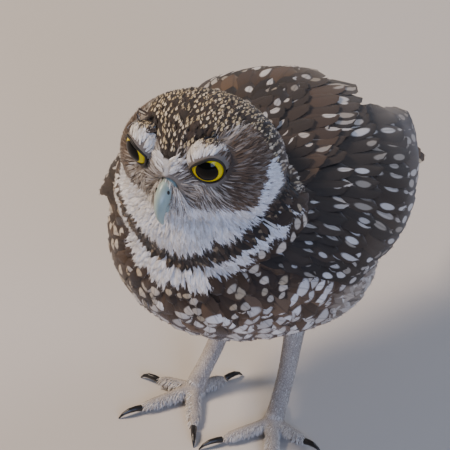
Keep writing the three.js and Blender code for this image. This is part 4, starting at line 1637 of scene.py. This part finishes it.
@dataclass
class Eye:
    """An eyeball with its lids."""

    side: int
    finish: bpy.types.Material
    lid_finish: bpy.types.Material
    ball_grid: tuple[int, int] = (40, 64)
    ball_arc: float = 0.62
    cornea: float = 0.035
    rim_grid: tuple[int, int] = (72, 12)
    rim_mm: float = 0.55
    hood_grid: tuple[int, int] = (10, 40)
    hood_back: float = 105.0
    hood_mm: float = 0.45

    @property
    def word(self) -> str:
        """Gives the side's name."""
        return "left" if self.side > 0 else "right"

    def place(self, name: str, local: np.ndarray, faces: np.ndarray) -> bpy.types.Object:
        """Makes a mesh from points given round the eye's own axes.

        Args:
            name: the piece's name.
            local: points across, up and out from the eye's centre.
            faces: one row for each face.

        Returns:
            The new object.
        """
        centre, axes = eye_frame(self.side)
        return make_mesh(name, local.reshape(-1, 3) @ axes.T + centre, faces)

    def ball(self) -> bpy.types.Object:
        """Makes the eyeball, with a slightly bulging cornea.

        Returns:
            The piece.
        """
        rings, spokes = self.ball_grid
        polar = np.linspace(0, math.pi * self.ball_arc, rings + 1)[:, None]
        spin = np.linspace(0, 2 * math.pi, spokes, endpoint=False)[None, :]
        r = EYE_RADIUS * (1 + self.cornea * np.exp(-(polar / 0.62) ** 2))
        local = on_sphere(r, polar, spin)
        piece = self.place(f"eyeball_{self.word}", local, grid_faces(rings + 1, spokes))
        flat = local.reshape(-1, 3)
        turn = np.arctan2(flat[:, 1], flat[:, 0])
        set_colour(piece, "polar", np.stack([np.hypot(flat[:, 0], flat[:, 1]) / 10,
                                             np.cos(turn), np.sin(turn)], -1))
        piece.data.materials.append(self.finish)
        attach(piece, "root")
        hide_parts(f"eye_{self.word}")
        return piece

    def lids(self) -> bpy.types.Object:
        """Makes the bare rim round the eye, with the upper lid drawn down towards the bill.

        Returns:
            The piece.
        """
        spokes, tube = self.rim_grid
        spin = np.linspace(0, 2 * math.pi, spokes, endpoint=False)[:, None]
        roll = np.linspace(0, 2 * math.pi, tube, endpoint=False)[None, :]
        ring = lid_opening(spin, self.side)
        reach = np.sqrt((EYE_RADIUS + 0.35) ** 2 - ring ** 2)
        rr = ring + self.rim_mm * (0.8 + 0.5 * np.clip(np.sin(spin), 0, 1)) * np.cos(roll)
        local = np.stack([rr * np.cos(spin), rr * np.sin(spin), reach + 0.55 * np.sin(roll)], -1)
        piece = self.place(f"lid_rim_{self.word}", local, grid_faces(spokes, tube, True))
        piece.data.materials.append(self.lid_finish)
        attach(piece, "root")
        return piece

    def hood(self) -> bpy.types.Object:
        """Makes the upper lid, a shell between the rim and the brow.

        Returns:
            The piece.
        """
        rings, spokes = self.hood_grid
        spin = np.linspace(-0.15, math.pi + 0.15, spokes + 1)[None, :]
        k = np.linspace(0, 1, rings + 1)[:, None]
        start = np.arcsin(lid_opening(spin, self.side) / (EYE_RADIUS + self.hood_mm))
        polar = start * (1 - k) + math.radians(self.hood_back) * k
        local = on_sphere(EYE_RADIUS + self.hood_mm + 0.15 * k, polar, spin)
        piece = self.place(f"upper_lid_{self.word}", local,
                           grid_faces(rings + 1, spokes + 1, close_columns=False))
        set_colour(piece, "ground", np.tile(rgb("8a827c"), (len(piece.data.vertices), 1)))
        piece.data.materials.append(SkinFinish("lid_down_matte").build())
        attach(piece, "root")
        return piece

    def build(self) -> None:
        """Makes the ball and its lids."""
        self.ball()
        self.lids()
        self.hood()


@dataclass
class Bill:
    """The hooked bill: upper mandible over a short lower one, with two nostrils."""

    material: bpy.types.Material
    hollow: bpy.types.Material
    upper: tuple = ((3, -2.8), (-1.2, -3.7), (-4.6, -6.4), (-6.4, -10.6), (-5.9, -15.2))
    upper_wide: tuple = ((0, 3.2), (0.3, 3.05), (0.6, 2.3), (0.85, 1.2), (1, 0.36))
    upper_deep: tuple = ((0, 3.8), (0.3, 3.6), (0.6, 2.65), (0.85, 1.4), (1, 0.4))
    lower: tuple = ((3, -7.6), (-0.3, -8.8), (-2.8, -11.6))
    lower_wide: tuple = ((0, 2.8), (0.6, 2.3), (1, 0.95))
    lower_deep: tuple = ((0, 1.9), (0.6, 1.5), (1, 0.65))
    nostril_half: tuple[float, float, float] = (0.45, 0.6, 0.85)
    nostril_place: tuple[float, float, float] = (2.6, -2.6, -2.2)
    nostril_grid: tuple[int, int] = (12, 24)
    mandible_grid: tuple[int, int] = (48, 40)
    ridge: float = 0.1

    def nostril(self, side: int) -> None:
        """Makes one nostril, a small dark oval in the side of the base.

        Args:
            side: 1 for the left one, -1 for the right.
        """
        rings, spokes = self.nostril_grid
        turn = np.linspace(0, 2 * math.pi, spokes, endpoint=False)[None, :]
        polar = np.linspace(0, math.pi, rings + 1)[:, None]
        ball = on_sphere(np.ones(1), polar, turn).reshape(-1, 3) * self.nostril_half
        place = BILL_BASE + np.array(self.nostril_place) * (side, 1, 1)
        piece = make_mesh(f"nostril_{'left' if side > 0 else 'right'}", from_head(ball + place),
                          grid_faces(rings + 1, spokes))
        piece.data.materials.append(self.hollow)
        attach(piece, "root")

    def sweep(self, name: str, path: tuple, wide: tuple, deep: tuple,
              replaces: str) -> bpy.types.Object:
        """Sweeps an oval along a path.

        Args:
            name: the piece's name.
            path: the centre line as (y, z) from the bill's base, in the head's frame.
            wide: half width along it, as (0 to 1, mm) pairs.
            deep: half depth along it, as (0 to 1, mm) pairs.
            replaces: the solid that it stands for.

        Returns:
            The piece.
        """
        steps, sides = self.mandible_grid
        t = np.linspace(0, 1, steps + 1)
        knots = np.linspace(0, 1, len(path))
        whole = [BILL_BASE + np.array([0.0, y, z]) for y, z in path]
        line = np.stack([profile(tuple(zip(knots, [q[i] for q in whole])), t)
                         for i in range(3)], -1)
        ahead = unit(np.gradient(line, axis=0))
        across = np.array([1.0, 0.0, 0.0])
        up = unit(np.cross(across, ahead))
        spin = np.linspace(0, 2 * math.pi, sides, endpoint=False)
        w = profile(wide, t)[:, None]
        d = profile(deep, t)[:, None]
        ridge = 1 + self.ridge * np.maximum(0, np.cos(spin)) ** 6
        body = (line[:, None] + across * (w * np.sin(spin))[..., None]
                - up[:, None] * (d * np.cos(spin) * ridge)[..., None])
        flat = body.reshape(-1, 3)
        quads = grid_faces(steps + 1, sides)
        tip = line[-1] + ahead[-1] * 0.3
        flat = np.concatenate([flat, tip[None], line[:1]])
        here = np.arange(sides)
        after = np.roll(here, -1)
        last = steps * sides
        caps = [np.stack([last + here, np.full(sides, len(flat) - 2), last + after], -1),
                np.stack([after, np.full(sides, len(flat) - 1), here], -1)]
        tris = np.concatenate([quads[:, [0, 1, 2]], quads[:, [0, 2, 3]], *caps])
        piece = make_mesh(name, from_head(flat), tris)
        piece.data.materials.append(self.material)
        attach(piece, "root")
        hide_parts(replaces)
        return piece

    def build(self) -> None:
        """Makes both mandibles and the nostrils."""
        for side in (1, -1):
            self.nostril(side)
        self.sweep("bill_upper_horn", self.upper, self.upper_wide, self.upper_deep,
                   "bill_upper")
        self.sweep("bill_lower_horn", self.lower, self.lower_wide, self.lower_deep,
                   "bill_lower")


def smooth_copy(name: str, nodes: tuple[str, ...], voxel_mm: float,
                turns: int) -> bpy.types.Object:
    """Makes a smooth piece in place of faceted solids.

    Args:
        name: the piece's name.
        nodes: the solids that it stands for.
        voxel_mm: the size of the new mesh's cells.
        turns: how often it is smoothed.

    Returns:
        The piece, riding on the body.
    """
    piece = remesh_solids(name, nodes, voxel_mm, turns)
    piece.data.shade_smooth()
    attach(piece, "root")
    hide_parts(*nodes)
    return piece


@dataclass
class Legs:
    """Both legs: shanks in short pale bristles, scaled toes and black claws."""

    vane: bpy.types.Material
    toe: bpy.types.Material
    claw: bpy.types.Material
    rng: np.random.Generator
    names: tuple[str, ...] = ("inner", "middle", "outer", "hind")
    bristles: int = 6000
    leg_voxel: float = 0.55
    claw_voxel: float = 0.22
    bristle: Feather = Feather(2.9, 0.17, 1.0, ("e6e2de", "dcd7d1", "cdc6bf"), lift=0.3,
                               jag=0.15, along=3, across=1, stray=0.2, curve=9)

    def shank_coat(self, piece: bpy.types.Object, word: str) -> None:
        """Covers one shank and the top of its foot with short flat bristles.

        Args:
            piece: the leg that they grow on.
            word: left or right.
        """
        p, n = read_vertices(piece.data)
        chosen = self.rng.choice(len(p), min(len(p), self.bristles), replace=False)
        p, n = p[chosen], n[chosen]
        keep = (p[:, 2] > 3.2) & ((n[:, 2] > -0.5) | (p[:, 2] > 7))
        p, n = p[keep], n[keep]
        flow = np.tile(np.array([0.0, -0.5, -1.0]), (len(p), 1))
        flow = unit(flow - n * np.sum(flow * n, axis=1, keepdims=True))
        coat = Coat(Skin(), self.vane, self.rng)
        vanes = VaneSet(f"shank_bristles_{word}")
        for part in coat.vanes(p, n, flow, self.bristle):
            vanes.add(*part)
        vanes.build(self.vane, "leg_skin")

    def build(self) -> None:
        """Makes both legs."""
        for word in ("left", "right"):
            leg = smooth_copy(f"leg_{word}", (f"shank_{word}", f"foot_{word}"),
                              self.leg_voxel, 6)
            leg.data.materials.clear()
            leg.data.materials.append(self.toe)
            self.shank_coat(leg, word)
            for toe in self.names:
                node = f"claw_{toe}_{word}"
                claw = smooth_copy(f"claw_horn_{toe}_{word}", (node,), self.claw_voxel, 3)
                claw.data.materials.clear()
                claw.data.materials.append(self.claw)


@dataclass
class Studio:
    """Pale floor, soft light and the camera at the photograph's angle."""

    azimuth: float = 33.0
    elevation: float = 38.0
    distance_mm: float = 1800.0
    pixels_per_mm: float = 2.65
    target: tuple[float, float, float] = (0.0, -2.0, 96.5)
    picture: int = 450
    floor_half: float = 9000.0
    air_colour: str = "dfe3ea"
    air_strength: float = 0.22
    lamps: tuple = (("key_softbox", (-0.75, -0.35, 1.05), 0.32, 18.0, "ffe9d2"),
                    ("fill_softbox", (0.95, -0.75, 0.55), 0.5, 8.0, "b4ccff"),
                    ("back_softbox", (0.35, 0.95, 0.8), 0.5, 5.0, "e4ecff"))

    def light(self, name: str, place: tuple[float, float, float], size: float, power: float,
              colour: str) -> None:
        """Adds a soft area light that looks at the bird.

        Args:
            name: the light's name.
            place: where it stands, in metres.
            size: its width, in metres.
            power: its power, in watts.
            colour: its colour.
        """
        data = bpy.data.lights.new(name, "AREA")
        data.size = size
        data.energy = power
        data.color = srgb(colour)[:3]
        lamp = bpy.data.objects.new(name, data)
        lamp.location = place
        aim = Vector((0, 0, 0.08)) - Vector(place)
        lamp.rotation_euler = aim.to_track_quat("-Z", "Y").to_euler()
        bpy.context.scene.collection.objects.link(lamp)

    def build(self) -> None:
        """Makes floor, lights and camera."""
        corners = np.array([[-1.0, -1, 0], [1, -1, 0], [1, 1, 0], [-1, 1, 0]])
        floor = make_mesh("studio_floor", corners * self.floor_half, np.array([[0, 1, 2, 3]]))
        floor.data.materials.append(FloorFinish().build())
        for lamp in self.lamps:
            self.light(*lamp)
        world = bpy.data.worlds.new("studio_air")
        world.use_nodes = True
        air = world.node_tree.nodes["Background"]
        air.inputs[0].default_value = srgb(self.air_colour)
        air.inputs[1].default_value = self.air_strength
        bpy.context.scene.world = world
        a, e = math.radians(self.azimuth), math.radians(self.elevation)
        back = Vector((math.sin(a) * math.cos(e), -math.cos(a) * math.cos(e), math.sin(e)))
        data = bpy.data.cameras.new("camera")
        data.sensor_width = 36.0
        data.lens = data.sensor_width * self.pixels_per_mm * self.distance_mm / self.picture
        data.clip_end = 20.0
        camera = bpy.data.objects.new("camera", data)
        aim = Vector(self.target) + Vector(ORIGIN)
        camera.location = (aim + back * self.distance_mm) * MM
        camera.rotation_euler = (-back).to_track_quat("-Z", "Y").to_euler()
        bpy.context.scene.collection.objects.link(camera)
        bpy.context.scene.camera = camera


def main() -> None:
    """Builds the owl piece by piece."""
    logging.basicConfig(level=logging.INFO, format="%(name)s %(message)s")
    ORIGIN[:] = find_origin()
    LOG.info("frame shift %s", ORIGIN)
    Studio().build()
    rng = np.random.default_rng(SEED + 1)
    vane = VaneFinish().build()
    skin = Skin()
    skin.build()
    LOG.info("skin: %d points", len(skin.points))
    Coat(skin, vane).build()
    for side in (1, -1):
        FoldedWing(side, vane, rng).build()
    Tail(vane, rng).build()
    eye, lid = EyeFinish().build(), LidFinish().build()
    for side in (1, -1):
        Eye(side, eye, lid).build()
    Bill(HornFinish("bill_horn_satin", "b3c5bf", "7d918b", 0.38).build(), lid).build()
    claw = HornFinish("claw_horn_polished", "2b2623", "0f0d0c", 0.32).build()
    Legs(vane, ToeFinish().build(), claw, rng).build()


if __name__ == "__main__":
    main()
